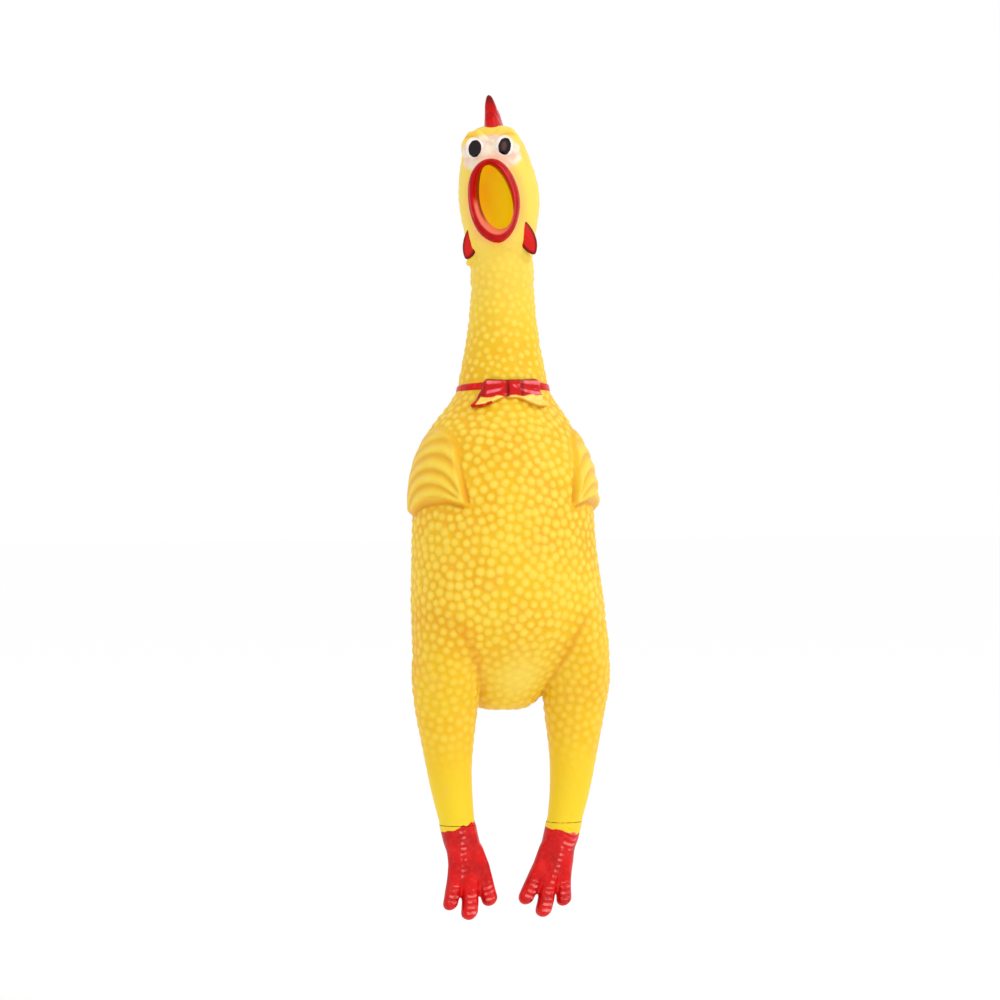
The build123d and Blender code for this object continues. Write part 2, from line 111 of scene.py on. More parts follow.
# Leg on the +X side.
LEG = [
    (-108.0, 6.3, 5.6, 19.0, -1.6), (-100.0, 6.4, 6.2, 20.6, -1.5), (-92.0, 7.2, 7.0, 22.2, -1.5),
    (-84.0, 7.9, 7.9, 23.4, -1.5), (-76.0, 8.6, 8.6, 24.2, -1.5), (-66.0, 9.9, 10.0, 24.7, -1.5),
    (-56.0, 11.4, 11.6, 25.0, -1.6), (-45.0, 12.5, 14.2, 25.2, -3.2), (-30.0, 12.7, 16.6, 24.2, -4.6),
    (-14.0, 10.8, 16.4, 22.6, -5.2), (0.0, 7.0, 12.4, 22.0, -5.6), (10.0, 3.0, 6.0, 22.0, -5.6),
]
FOOT = [
    (-125.6, 9.2, 2.1, 14.7, -3.8), (-119.0, 8.4, 3.0, 15.7, -3.1), (-112.0, 7.2, 4.4, 17.2, -2.3),
    (-106.0, 6.4, 5.4, 18.9, -1.8), (-99.0, 6.4, 6.2, 20.8, -1.5),
]
# Toes: root, tip, radius at each.
TOES = [
    ((19.6, -2.6, -109.0), (22.0, -4.9, -127.6), 2.9, 2.85),
    ((16.6, -3.0, -108.0), (14.4, -6.2, -131.0), 3.2, 3.15),
    ((13.8, -2.6, -109.0), (7.2, -4.9, -126.4), 2.9, 3.0),
    ((17.0, 0.6, -110.0), (17.2, 7.0, -116.5), 2.6, 2.2),
]
# How far both legs and feet stand off to +X: height, shift.
LEAN = [
    (-133.0, -2.4), (-128.0, -1.4), (-123.0, -0.8), (-119.0, -0.1), (-114.0, 0.7), (-106.0, 1.0),
    (-90.0, 1.2), (-50.0, 1.1), (-30.0, 0.6), (-10.0, 0.0),
]
# Head, in its own axes: height, half width, half depth, centre in X, centre in Y.
HEAD = [
    (-2.0, 11.2, 11.2, 0, 0), (4.0, 11.3, 11.6, 0, -0.2), (10.0, 11.9, 12.8, 0.2, -0.8),
    (18.0, 13.5, 14.8, 0.6, -1.3), (25.0, 14.9, 16.0, 0.9, -1.5), (32.0, 15.3, 16.3, 0.9, -1.4),
    (39.0, 14.3, 15.8, 0.6, -0.9), (45.0, 12.9, 14.6, 0.2, -0.2), (50.0, 11.5, 13.4, 0, 0.4),
    (54.0, 9.5, 11.4, 0, 0.8), (57.4, 6.6, 8.2, 0, 1.0),
]
MOUTH_U, MOUTH_H, MOUTH_FRONT = 0.9, 28.3, -19.8
MOUTH_CENTRE = (MOUTH_U, MOUTH_FRONT - 1.0, MOUTH_H)
MOUTH_RADII = (8.4, 6.9, 13.4)  # half width, depth, half height of the hollow
MUZZLE_RADII, MUZZLE_BACK = (8.9, 1, 14.8), -9.0  # an oval block behind the lip
JAW_CENTRE, JAW_RADII = (MOUTH_U, -12.0, 15.5), (8.6, 7.6, 6.0)
LIP_OUTER, LIP_INNER = (9.4, 15.5), (6.1, 11.8)
EYE = (5.6, -11.6, 48.6)
EYE_RADII = (4.6, 3.3, 5.2)
PUPIL_HEIGHT, PUPIL_RADII = 48.4, (2.4, 1, 3.15)
GLINT_CENTRE, GLINT_RADII = (-0.2, 0, 0.2), (1.2, 1, 1.9)
# Ridge over an eye, from the middle outwards: point, radius.
BROW = [
    ((0.4, -13.4, 51.2), 1.0), ((4.0, -12.8, 54.2), 1.4), ((7.0, -11.6, 53.8), 1.3),
    ((9.2, -9.2, 51.0), 1.1), ((10.0, -6.8, 47.2), 0.7),
]
FACE_CENTRE, FACE_RADII = (0, 0, 46.0), (11.6, 1, 7.4)  # the white paint round the eyes
# Outline of the wing on the flank: degrees round the body from the breast, height.
WING = [
    (35.5, 20.0), (40.0, 29.0), (44.5, 36.0), (49.0, 43.0), (60.0, 47.0), (78.0, 49.5), (98.0, 49.0),
    (116.0, 43.0), (124.0, 33.0), (118.0, 22.0), (105.0, 16.6), (90.0, 17.0), (72.0, 20.8), (51.0, 22.0),
]
WING_GIRTH = 31.0  # mean radius that turns those degrees into millimetres
FLANK_CENTRE, FLANK_RADII = (-1.0, -3.2), (34.0, 28.0)  # of the oval that those degrees go round
COMB = [
    (-7.6, 47.0), (-8.0, 56.6), (-6.9, 60.6), (-5.4, 63.4), (-3.6, 62.0), (-2.0, 65.6), (0.6, 70.0),
    (2.8, 67.0), (4.0, 62.6), (6.2, 66.0), (8.4, 63.4), (9.2, 59.4), (11.2, 61.2), (13.4, 57.6),
    (13.6, 52.0), (12.0, 45.0), (0.0, 42.0),
]
# Outline of the wattle on the +X side, about its own centre.
WATTLE_CORNERS = [(-2.2, 7.2), (0.9, 5.2), (3.4, 1.2), (4.3, -3.2), (3.2, -7.0), (-0.2, -5.4), (-3.4, 0.2)]
WATTLE_CENTRE, WATTLE_SHIFT = (9.9, -10.6, 14.8), 1.0  # on the +X side, and how far both stand off to +X
WATTLE_TURN = 14  # degrees away from straight ahead

# Mesh sizes: body skin, foot skin and the lip's points around and across.
SKIN_PITCH = 0.58
FOOT_PITCH = 0.35
LIP_AROUND, LIP_ACROSS = 240, 44


# ---- Distance fields: negative inside, in millimetres ----
def smooth_min(a, b, k):
    h = np.clip(0.5 + 0.5 * (b - a) / k, 0, 1)
    return b + (a - b) * h - k * h * (1 - h)


def smooth_max(a, b, k):
    return -smooth_min(-a, -b, k)


def smooth_step(x, low, high):
    t = np.clip((x - low) / (high - low), 0, 1)
    return t * t * (3 - 2 * t)


def tube(x, y, z, rows, end=2.0, soften=2.2):
    """A tube through oval sections (height, half width, half depth, centre x, centre y)."""
    rows = np.array(rows, float)
    step, beyond, taps = 0.25, 12, 40  # between levels, past the ends, half the smoothing kernel
    levels = np.arange(rows[0, 0] - beyond, rows[-1, 0] + beyond, step)
    kernel = np.exp(-0.5 * (np.arange(-taps, taps + 1) * step / soften) ** 2)
    kernel /= kernel.sum()
    columns = []
    for i in range(1, 5):
        raw = np.interp(levels, rows[:, 0], rows[:, i])
        soft = np.convolve(np.pad(raw, taps, mode="edge"), kernel, mode="valid")
        columns.append(np.interp(z, levels, soft))
    half_x, half_y, cx, cy = columns
    u, v = (x - cx) / half_x, (y - cy) / half_y
    k0 = np.sqrt(u * u + v * v) + 1e-6
    k1 = np.sqrt((u / half_x) ** 2 + (v / half_y) ** 2) + 1e-7
    ends = np.maximum(rows[0, 0] - z, z - rows[-1, 0])
    return smooth_max(k0 * (k0 - 1) / k1, ends + 0 * k0, end)


def ellipsoid(x, y, z, centre, radii):
    u = [(c - o) / r for c, o, r in zip((x, y, z), centre, radii)]
    k0 = np.sqrt(u[0] ** 2 + u[1] ** 2 + u[2] ** 2) + 1e-6
    k1 = np.sqrt(sum((a / r) ** 2 for a, r in zip(u, radii))) + 1e-7
    return k0 * (k0 - 1) / k1


def rod(x, y, z, start, end, r0, r1):
    """A tapered rod with round ends."""
    a, b = np.array(start, float), np.array(end, float)
    d = b - a
    t = np.clip(((x - a[0]) * d[0] + (y - a[1]) * d[1] + (z - a[2]) * d[2]) / (d @ d), 0, 1)
    gap = np.sqrt((x - a[0] - t * d[0]) ** 2 + (y - a[1] - t * d[1]) ** 2 + (z - a[2] - t * d[2]) ** 2)
    return gap - (r0 + (r1 - r0) * t)


def outline(u, v, points):
    """Signed distance to a closed outline in a plane."""
    points = np.array(points, float)
    best = np.full(np.broadcast(u, v).shape, np.inf)
    inside = np.zeros(best.shape, bool)
    for a, b in zip(points, np.roll(points, -1, axis=0)):
        d = b - a
        t = np.clip(((u - a[0]) * d[0] + (v - a[1]) * d[1]) / (d @ d), 0, 1)
        best = np.minimum(best, (u - a[0] - t * d[0]) ** 2 + (v - a[1] - t * d[1]) ** 2)
        crosses = (a[1] > v) != (b[1] > v)
        rise = d[1] if abs(d[1]) > 1e-9 else 1e-9
        inside ^= crosses & (u < a[0] + (v - a[1]) * d[0] / rise)
    return np.where(inside, -1, 1) * np.sqrt(best)


def round_curve(corners, count):
    """A smooth closed curve through the corners, as count points (Catmull-Rom)."""
    corners = np.array(corners, float)
    n = len(corners)
    made = []
    for k in range(count):
        at = k * n / count
        i, t = int(at), at - int(at)
        a, b, c, d = (corners[(i + j) % n] for j in (-1, 0, 1, 2))
        curved = (2 * a - 5 * b + 4 * c - d) * t * t + (3 * b - a - 3 * c + d) * t ** 3
        made.append(0.5 * (2 * b + (c - a) * t + curved))
    return np.array(made)


def to_head(x, y, z):
    """Row frame to the head's own axes."""
    p = (x - HEAD_ORIGIN[0], y - HEAD_ORIGIN[1], z - HEAD_ORIGIN[2])
    return tuple(sum(HEAD_AXES[i][j] * p[i] for i in range(3)) for j in range(3))


def from_head(points):
    return np.asarray(points) @ HEAD_AXES.T + HEAD_ORIGIN


def brow_field(au, v, h):
    """The M-shaped ridge over the eyes."""
    rods = [rod(au, v, h, a, b, r0, r1) for (a, r0), (b, r1) in zip(BROW, BROW[1:])]
    d = rods[0]
    for other in rods[1:]:
        d = smooth_min(d, other, 0.6)
    return d


def jowl_field(au, v, h):
    """The fold of skin beside each wattle."""
    d = rod(au, v, h, (8.6, -11.0, 19.0), (8.4, -10.4, 12.6), 1.3, 1.5)
    return np.minimum(d, rod(au, v, h, (8.4, -10.4, 12.6), (11.2, -7.0, 6.6), 1.5, 1.1))


def head_field(x, y, z):
    """The head with muzzle, brows and eye bulges, hollowed by the open mouth."""
    u, v, h = to_head(x, y, z)
    au = np.abs(u)
    d = tube(u, v, h, HEAD, end=3.0)
    oval = ellipsoid(u, 0, h, (MOUTH_U, 0, MOUTH_H), MUZZLE_RADII)
    muzzle = np.maximum(oval, np.maximum(v - MUZZLE_BACK, MOUTH_FRONT - v))
    lower_jaw = ellipsoid(u, v, h, JAW_CENTRE, JAW_RADII)
    eye_bulge = ellipsoid(au, v, h, EYE, (EYE_RADII[0] + 0.9, EYE_RADII[1], EYE_RADII[2] + 0.7))
    d = smooth_min(d, muzzle, 3.6)
    d = smooth_min(d, lower_jaw, 4.0)
    d = smooth_min(d, eye_bulge, 1.6)
    d = smooth_min(d, brow_field(au, v, h), 1.1)
    d = smooth_min(d, jowl_field(au, v, h), 2.2)
    hollow = ellipsoid(u, v, h, MOUTH_CENTRE, [r + 0.5 for r in MOUTH_RADII])
    return smooth_max(d, -hollow, 0.6)


def from_lean(x, z):
    """Distance in X from the plane between the legs, which leans."""
    heights, shifts = zip(*LEAN)
    return np.abs(x - np.interp(z, heights, shifts))


def leg_field(x, y, z):
    ax = from_lean(x, z)
    return tube(ax, y, z, LEG, end=4.0)


def foot_field(x, y, z):
    ax = from_lean(x, z)
    d = tube(ax, y, z, FOOT, end=1.6, soften=1.6)
    for toe in TOES:
        d = smooth_min(d, rod(ax, y, z, *toe), 1.0)
    return d


def skin_field(x, y, z):
    """The whole moulded skin. Each region is worked out only in the slabs of height that it reaches."""
    low, high = float(z.min()), float(z.max())
    d = np.full(np.broadcast(x, y, z).shape, 40.0)  # well outside
    if high > -62 and low < 72:
        d = np.minimum(d, tube(x, y, z, BODY, end=5.0))
    if high > 44 and low < 118:
        d = smooth_min(d, tube(x, y, z, NECK), 3.0)
    if low < -8:
        d = smooth_min(d, leg_field(x, y, z), 2.0 + 6.0 * smooth_step(z, -50, -32))
    if low < -94:
        d = smooth_min(d, foot_field(x, y, z), 2.0)
    if high > 98:
        d = smooth_min(d, head_field(x, y, z), 2.0)
    return d


# ---- Meshes from distance fields ----
def surface(field, low, high, pitch):
    """Points and quads of a field's zero surface, in millimetres."""
    low, high = np.array(low, float), np.array(high, float)
    counts = np.ceil((high - low) / pitch).astype(int) + 1
    x, y, z = (low[i] + pitch * np.arange(counts[i]) for i in range(3))
    values = np.empty(counts, np.float32)
    slab = 48  # layers worked out at a time
    for k in range(0, counts[2], slab):
        zs = z[k:k + slab]
        values[:, :, k:k + slab] = field(x[:, None, None], y[None, :, None], zs[None, None, :])
    grid = openvdb.FloatGrid(4 * pitch)
    grid.copyFromArray(np.clip(values, -3 * pitch, 3 * pitch))
    points, quads = grid.convertToQuads(isovalue=0.0)
    return np.array(points, float) * pitch + low, np.array(quads, int)


def edge_pairs(quads):
    return np.concatenate([quads[:, [i, (i + 1) % 4]] for i in range(4)])


def relax(points, quads, rounds=4):
    """Evens out the mesh without shrinking it."""
    pairs = edge_pairs(quads)
    count = np.bincount(pairs.ravel(), minlength=len(points))[:, None]
    for factor in [0.5, -0.52] * rounds:
        total = np.zeros_like(points)
        np.add.at(total, pairs[:, 0], points[pairs[:, 1]])
        np.add.at(total, pairs[:, 1], points[pairs[:, 0]])
        points = points + factor * (total / count - points)
    return points


def point_normals(points, quads):
    across = points[quads[:, 2]] - points[quads[:, 0]]
    along = points[quads[:, 3]] - points[quads[:, 1]]
    faces = np.cross(across, along)
    total = np.zeros_like(points)
    for i in range(4):
        np.add.at(total, quads[:, i], faces)
    return total / (np.linalg.norm(total, axis=1, keepdims=True) + 1e-12)


def make_mesh(name, points, quads, attributes, normals=None):
    """A mesh object from millimetre points, with its named attributes, and its rest place as one more."""
    mesh = bpy.data.meshes.new(name)
    mesh.from_pydata((points * MM).tolist(), [], quads.tolist())
    mesh.polygons.foreach_set("use_smooth", np.ones(len(mesh.polygons), bool))
    rest = mesh.attributes.new("rest", "FLOAT_VECTOR", "POINT")
    rest.data.foreach_set("vector", points.astype(np.float32).ravel())
    for key, values in attributes.items():
        made = mesh.attributes.new(key, "FLOAT", "POINT")
        made.data.foreach_set("value", np.asarray(values, np.float32))
    if normals is not None:
        mesh.normals_split_custom_set_from_vertices(normals.tolist())
    mesh.update()
    made = bpy.data.objects.new(name, mesh)
    bpy.context.scene.collection.objects.link(made)
    return made


def part_of(name, points, quads, chosen, attributes, normals):
    """A piece of a larger mesh: the quads that are chosen."""
    used, flat = np.unique(quads[chosen], return_inverse=True)
    own = {key: values[used] for key, values in attributes.items()}
    return make_mesh(name, points[used], flat.reshape(-1, 4), own, normals[used])


# ---- Skin ----
FEATHER_START, FEATHER_STEP = 24.0, 19.0  # bearing of the lowest feather's crease and from one to the next
FEATHERS = 5
BUMP_GAP, NECK_GAP_LESS = 4.6, 1.3  # between goose bumps, and how much less on the neck
BUMP_HEIGHT, LEAST_BUMP = 0.62, 0.03
BUMP_SIZES = (0.40, 0.52)  # radius as a share of the gap
COLLAR_HEIGHT = 64.8
SCALE_STEP = 2.1  # from one bar of the shins to the next
FOOT_SEAM = -99.0
# Rows of bars down each shin: start and end (distance from the middle plane, height), half width.
SHIN_BARS_RIGHT = [((20.8, -99.0), (18.6, -119.0), 1.6)]
SHIN_BARS_LEFT = [((22.6, -101.0), (20.0, -109.5), 3.0), ((19.0, -109.0), (15.4, -122.0), 1.5)]
FRONT_TOES, TOE_BAR_HALF = TOES[:3], 2.2


def wing_place(points):
    """Distance to the wing's outline, and distance and bearing from the wing's tip, on either flank."""
    x, y, z = points.T
    across = np.abs(x - FLANK_CENTRE[0]) / FLANK_RADII[0]
    ahead = -(y - FLANK_CENTRE[1]) / FLANK_RADII[1]
    degrees = np.degrees(np.arctan2(across, ahead))
    u = np.radians(degrees) * WING_GIRTH
    edge = [(math.radians(a) * WING_GIRTH, b) for a, b in WING]
    gap = outline(u, z, edge)
    tip = np.array(edge[0])
    du, dz = u - tip[0], z - tip[1]
    return gap, np.hypot(du, dz), np.degrees(np.arctan2(dz, du))


def feather_shingles(far, bearing):
    """Overlapping feathers that curl out of the wing's tip: 0 in a crease, 1 on the ridge just above it."""
    turn = (bearing + 0.05 * far ** 2 - FEATHER_START) / FEATHER_STEP
    share = turn - np.floor(turn)
    shape = np.where(share < 0.3, smooth_step(share, 0, 0.3), 1 - smooth_step(share, 0.3, 1.0))
    return shape * (turn > 0) * (turn < FEATHERS)


def bump_spacing(points):
    """How far apart the goose bumps are, by place."""
    return BUMP_GAP - NECK_GAP_LESS * smooth_step(points[:, 2], 52, 68)


def bump_height(points, wing_gap):
    """How high the goose bumps stand: none on wings, feet and face, next to none under the collar."""
    z = points[:, 2]
    height = BUMP_HEIGHT * smooth_step(z, -92, -40)
    height *= 1 - 0.35 * smooth_step(z, 52, 66)
    height *= 1 - 0.6 * smooth_step(z, 104, 122)
    under_collar = np.exp(-((z - COLLAR_HEIGHT) / 2.2) ** 4)
    height *= smooth_step(wing_gap, 0.2, 1.6) * (1 - 0.9 * under_collar)
    _, v, h = to_head(*points.T)
    face = smooth_step(h, 12, 22) * smooth_step(-v, 4, 10)
    return height * (1 - face)


def scatter(points, spacing, allowed, seed):
    """Seeds of the goose bumps: points about spacing apart, evened out by pushing close neighbours away."""
    order = [i for i in range(len(points)) if allowed[i]]
    Random(seed).shuffle(order)
    cell = 3.0
    cells, seeds = {}, []
    for i in order:
        p, least = points[i], min(0.82 * spacing[i], cell)
        key = tuple(int(c // cell) for c in p)
        near = (
            q
            for a in (-1, 0, 1) for b in (-1, 0, 1) for c in (-1, 0, 1)
            for q in cells.get((key[0] + a, key[1] + b, key[2] + c), ())
        )
        if all((p[0] - q[0]) ** 2 + (p[1] - q[1]) ** 2 + (p[2] - q[2]) ** 2 > least ** 2 for q in near):
            cells.setdefault(key, []).append(p)
            seeds.append(i)
    return np.array(seeds)


def build_tree(points):
    tree = KDTree(len(points))
    for i, p in enumerate(points):
        tree.insert(p, i)
    tree.balance()
    return tree


def even_out(points, spacing, seeds):
    """Moves the seeds apart along the surface, so that they lie nearly in a honeycomb."""
    rounds, neighbours = 3, 7
    skin = build_tree(points)
    places, gaps = points[seeds].copy(), spacing[seeds]
    for _ in range(rounds):
        tree = build_tree(places)
        moved = places.copy()
        for i, p in enumerate(places):
            push = np.zeros(3)
            for q, j, gap in tree.find_n(p, neighbours):
                if j != i and gap < gaps[i]:
                    push += (p - np.array(q)) / (gap + 1e-6) * (gaps[i] - gap) * 0.35
            moved[i] = skin.find(p + push)[0]
        places = moved
    return places


def foot_scales(points, normals):
    """Rows of small bars down the front of each foot and toe."""
    x, z = points[:, 0], points[:, 2]
    ax = from_lean(x, z)
    facing = smooth_step(-normals[:, 1], 0.1, 0.5)
    both = np.ones(len(points))
    lines = [(*row, x < 0) for row in SHIN_BARS_RIGHT] + [(*row, x > 0) for row in SHIN_BARS_LEFT]
    for root, tip, _, _ in FRONT_TOES:
        start = (root[0] * 0.35 + tip[0] * 0.65, root[2] * 0.35 + tip[2] * 0.65)
        end = (tip[0] * 1.05 - root[0] * 0.05, tip[2] - 1.6)
        lines.append((start, end, TOE_BAR_HALF, both))
    bars = np.zeros(len(points))
    for (x0, z0), (x1, z1), wide, where in lines:
        d = np.array([x1 - x0, z1 - z0])
        length = np.hypot(*d)
        along = ((ax - x0) * d[0] + (z - z0) * d[1]) / length
        across = ((ax - x0) * -d[1] + (z - z0) * d[0]) / length
        bar = np.clip(0.5 + np.cos(2 * np.pi * (along + 0.08 * across ** 2) / SCALE_STEP), 0, 1)
        window = smooth_step(-np.abs(across), -wide, -wide + 0.9)
        window *= smooth_step(along, -0.5, 0.5) * smooth_step(-along, -length, -length + 0.6)
        bars = np.maximum(bars, bar * window * where)
    return bars * facing


def paint_line(points):
    """Signed distance to the feet's red paint, negative in it. The line is higher on the inner side."""
    x, y, z = points.T
    slope = np.where(x < 0, 0.30, 0.20)
    start = np.where(x < 0, 97.6, 101.0)
    return z + start + slope * (np.abs(x) - 14.5) + 0.35 * np.sin(1.3 * x + 0.9 * y)


def goose_bumps(points, height):
    """The bumps' domes, 0 to 1, from seeds spread over the skin."""
    spacing = bump_spacing(points)
    seeds = scatter(points, spacing, height > LEAST_BUMP, seed=7)
    tree = build_tree(even_out(points, spacing, seeds))
    sizes = np.random.default_rng(11).uniform(*BUMP_SIZES, len(seeds))
    found = [tree.find(p)[1:] for p in points]
    nearest, gap = (np.array(column) for column in zip(*found))
    return np.clip(1 - (gap / (sizes[nearest] * spacing)) ** 2, 0, 1)


def skin_surface(low, high, pitch):
    """A stretch of the skin with all its relief, and the attributes that its material reads."""
    points, quads = surface(skin_field, low, high, pitch)
    points = relax(points, quads)
    normals = point_normals(points, quads)
    x, y, z = points.T
    gap, far, bearing = wing_place(points)
    height = bump_height(points, gap)
    dome = goose_bumps(points, height) if height.max() > LEAST_BUMP else 0 * z
    crotch = np.exp(-((x - 1.5) / 9.0) ** 2 - ((z + 44.0) / 9.0) ** 2) * smooth_step(-y, 4, 12)
    relief = height * dome * (1 - 0.45 * crotch)
    soft = 0.8 + 0.05 * far
    inside = smooth_step(-gap, -0.4 * soft, 1.3 * soft)
    rim = np.exp(-((gap + 1.5) / 0.9) ** 2)
    shingle = feather_shingles(far, bearing)
    feathered = smooth_step(far, 3, 7) * smooth_step(-gap, 0.0, 1.2) * (1 - 0.6 * smooth_step(far, 22, 40))
    relief += inside * (0.8 + 1.3 * smooth_step(-z, -46, -26)) + 0.3 * rim + 0.7 * shingle * feathered
    bars = foot_scales(points, normals)
    relief += 0.36 * bars
    thigh = np.abs(tube(x, y, z, BODY, end=5.0) - leg_field(x, y, z))
    fold = np.exp(-((thigh / 1.6) ** 2)) * smooth_step(z, -56, -50) * (1 - smooth_step(z, -30, -14))
    points = points + normals * relief[:, None]
    normals = point_normals(points, quads)

    u, v, h = to_head(*points.T)
    face_gap = ellipsoid(u, 0, h, FACE_CENTRE, FACE_RADII)
    lip_gap = ellipsoid(u, 0, h, (MOUTH_U, 0, MOUTH_H), (LIP_OUTER[0], 1, LIP_OUTER[1]))
    bumpy = np.clip(height / 0.3, 0, 1)
    # Painted shade: crease, valley, fold and brow mark where shade falls, just outside the wing's lower
    # edge, between the feathers, in the thigh fold and under the brows.
    crease = np.exp(-((gap - 0.5) / 0.8) ** 2) * smooth_step(-z, -40, -26) * (far > 1.5)
    valley = (1 - shingle) ** 3 * feathered
    warm_and_side_shade = smooth_step(z, -100, -45) * (1 - 0.25 * smooth_step(z, 55, 90))
    warm_and_side_shade *= (1 - 0.6 * smooth_step(z, 104, 124)) * (1 - 0.5 * crotch)
    # Painted shade: the -X flank is made more orange, as the side in shade.
    warm_and_side_shade += 0.35 * smooth_step(-x, 6, 26) * smooth_step(z, -60, -20)
    brow = np.exp(-((brow_field(np.abs(u), v, h) - 0.7) / 0.5) ** 2) * (h > 46) * smooth_step(-v, 7, 9)
    body_light = dome * bumpy * (1 - 0.35 * smooth_step(-z, 12, 44))
    # Painted highlight: on the wing, the feather ridges and the rim at its edge are made paler.
    wing_ridge_highlight = 0.35 + 0.5 * np.maximum(shingle * feathered, rim)
    return points, quads, normals, {
        # dome: paler on the goose bumps; on the wing, painted highlight on the ridges and rim.
        "dome": body_light * (1 - inside) + wing_ridge_highlight * inside,
        # crease: painted shade in creases, folds and under the brows.
        "crease": np.clip(np.maximum.reduce([crease, 0.5 * valley, 0.7 * fold, 0.75 * brow]), 0, 1),
        "warm_and_side_shade": warm_and_side_shade,
        "pale": np.maximum(0.9 * smooth_step(z, 76, 122), 0.8 * crotch),
        "red": paint_line(points),
        "face": face_gap + np.clip(v + 8.5, 0, 20),
        "flush": np.exp(-((lip_gap / 1.9) ** 2)) * (v < -8) * (z > 110),
        "bars": bars,
        # side: painted shade on faces turned sideways, used to darken the red feet at their edges.
        "side": smooth_step(-np.abs(normals[:, 1]), -0.6, -0.1),
    }


def make_skin():
    """The whole skin, cut into the pieces that bend. The feet come from a finer mesh than the rest."""
    points, quads, normals, attributes = skin_surface((-44, -37, -102), (44, 30, 166), SKIN_PITCH)
    centre = points[quads].mean(axis=1)
    cx, cz = centre[:, 0], centre[:, 2]
    leg = (np.abs(cx) > LEG_INNER_X) | (cz < LEG_TOP)
    cuts = {
        "body_skin": (cz < NECK_CUTS[0]) & ~(leg & (cz < LEG_CUTS[0])),
        "neck_skin_lower": (cz >= NECK_CUTS[0]) & (cz < NECK_CUTS[1]),
        "neck_skin_upper": (cz >= NECK_CUTS[1]) & (cz < NECK_CUTS[2]),
        "face_and_head_skin": cz >= NECK_CUTS[2],
    }
    for side, sign in SIDES:
        mine = leg & (cx * sign > 0)
        cuts[f"thigh_skin_{side}"] = mine & (cz < LEG_CUTS[0]) & (cz >= LEG_CUTS[1])
        cuts[f"knee_skin_{side}"] = mine & (cz < LEG_CUTS[1]) & (cz >= LEG_CUTS[2])
        cuts[f"shank_skin_{side}"] = mine & (cz < LEG_CUTS[2]) & (cz >= FOOT_SEAM)
    made = {n: part_of(n, points, quads, c, attributes, normals) for n, c in cuts.items()}

    points, quads, normals, attributes = skin_surface((-28, -14, -137), (28, 12, -95), FOOT_PITCH)
    centre = points[quads].mean(axis=1)
    for side, sign in SIDES:
        chosen = (centre[:, 0] * sign > 0) & (centre[:, 2] < FOOT_SEAM)
        made[f"foot_skin_{side}"] = part_of(f"foot_skin_{side}", points, quads, chosen, attributes, normals)
    return made


# ---- Small parts ----
def moulded(name, field, low, high, pitch, attributes=None, to_row=None):
    """A closed part from a distance field, put in the row frame by to_row."""
    points, quads = surface(field, low, high, pitch)
    points = relax(points, quads, rounds=3)
    extra = attributes(points) if attributes else {}
    if to_row:
        points = to_row(points)
    return make_mesh(name, points, quads, extra)


def comb_field(u, v, h):
    side = outline(v + 0 * h, h + 0 * v, COMB)
    half = np.interp(h, [52.0, 57.0, 62.0, 66.0, 70.0], [3.9, 3.5, 2.6, 1.9, 0.9])
    half = np.minimum(half, 0.9 + 1.1 * np.sqrt(np.clip(-side, 0, 9)))
    return smooth_max(side, np.abs(u - 0.5 + 0.10 * (h - 57)) - half, 1.1)


def wattle_flat(u, h):
    """Distance to the lobe's outline, seen from the front."""
    return outline(u, h, round_curve(WATTLE_CORNERS, 28))


def make_wattle(side, sign):
    centre = np.array([sign * WATTLE_CENTRE[0] + WATTLE_SHIFT, *WATTLE_CENTRE[1:]])
    turn = np.array(Matrix.Rotation(math.radians(sign * WATTLE_TURN), 3, "Z"))

    def field(u, v, h):
        """One leaf-shaped lobe about its own centre, thickest in the middle."""
        flat = wattle_flat(sign * u, h)
        half = 0.3 + 0.62 * np.sqrt(np.clip(-flat + 0.4, 0, 6))
        return smooth_max(flat, np.abs(v) - half, 0.8)

    def attributes(points):
        # rim: 1 at the lobe's edge, where painted shade darkens the red.
        return {"rim": smooth_step(wattle_flat(sign * points[:, 0], points[:, 2]), -1.5, -0.3)}

    def to_row(points):
        return from_head(points @ turn.T + centre)

    return moulded(f"wattle_{side}_lobe", field, (-5.5, -4, -8.6), (5.5, 4, 8.6), 0.3, attributes, to_row)


def make_eye(side, sign):
    centre = (sign * EYE[0], EYE[1] - 0.35, EYE[2])

    def field(u, v, h):
        return ellipsoid(u, v, h, centre, EYE_RADII)

    def attributes(points):
        """The pupil leans towards the middle, and its glint shows on the left eye alone."""
        u, v, h = points.T
        dh = h - PUPIL_HEIGHT
        du = u - centre[0] - 0.2 - 0.12 * dh
        pupil = ellipsoid(du, 0, dh, (0, 0, 0), PUPIL_RADII)
        glint = ellipsoid(du, 0, dh, GLINT_CENTRE, GLINT_RADII)
        return {"pupil": np.where(v < EYE[1], pupil, 5.0), "glint": glint + 1.2 * (1 - sign)}

    low, high = (centre[0] - 6, -16.5, 42), (centre[0] + 6, -6.5, 55)
    return moulded(f"eyeball_{side}", field, low, high, 0.3, attributes, from_head)


def mouth_field(u, v, h):
    """The mouth's lining: a bowl with a wall 0.9 thick, open to the front."""
    inner = ellipsoid(u, v, h, MOUTH_CENTRE, MOUTH_RADII)
    outer = ellipsoid(u, v, h, MOUTH_CENTRE, [r + 0.9 for r in MOUTH_RADII])
    return np.maximum(smooth_max(outer, -inner, 0.3), MOUTH_FRONT - v)


def make_mouth():
    def attributes(points):
        # Painted shade: side runs from 0 on the -X side, made a darker orange, to 1 on the +X side, made a
        # lighter yellow.
        return {"side": smooth_step(points[:, 0] - 0.25 * (points[:, 2] - MOUTH_H), -6, 6)}

    low, high = (-10, -21, 14), (12, -6, 46)
    return moulded("mouth_hollow_lining", mouth_field, low, high, 0.4, attributes, from_head)


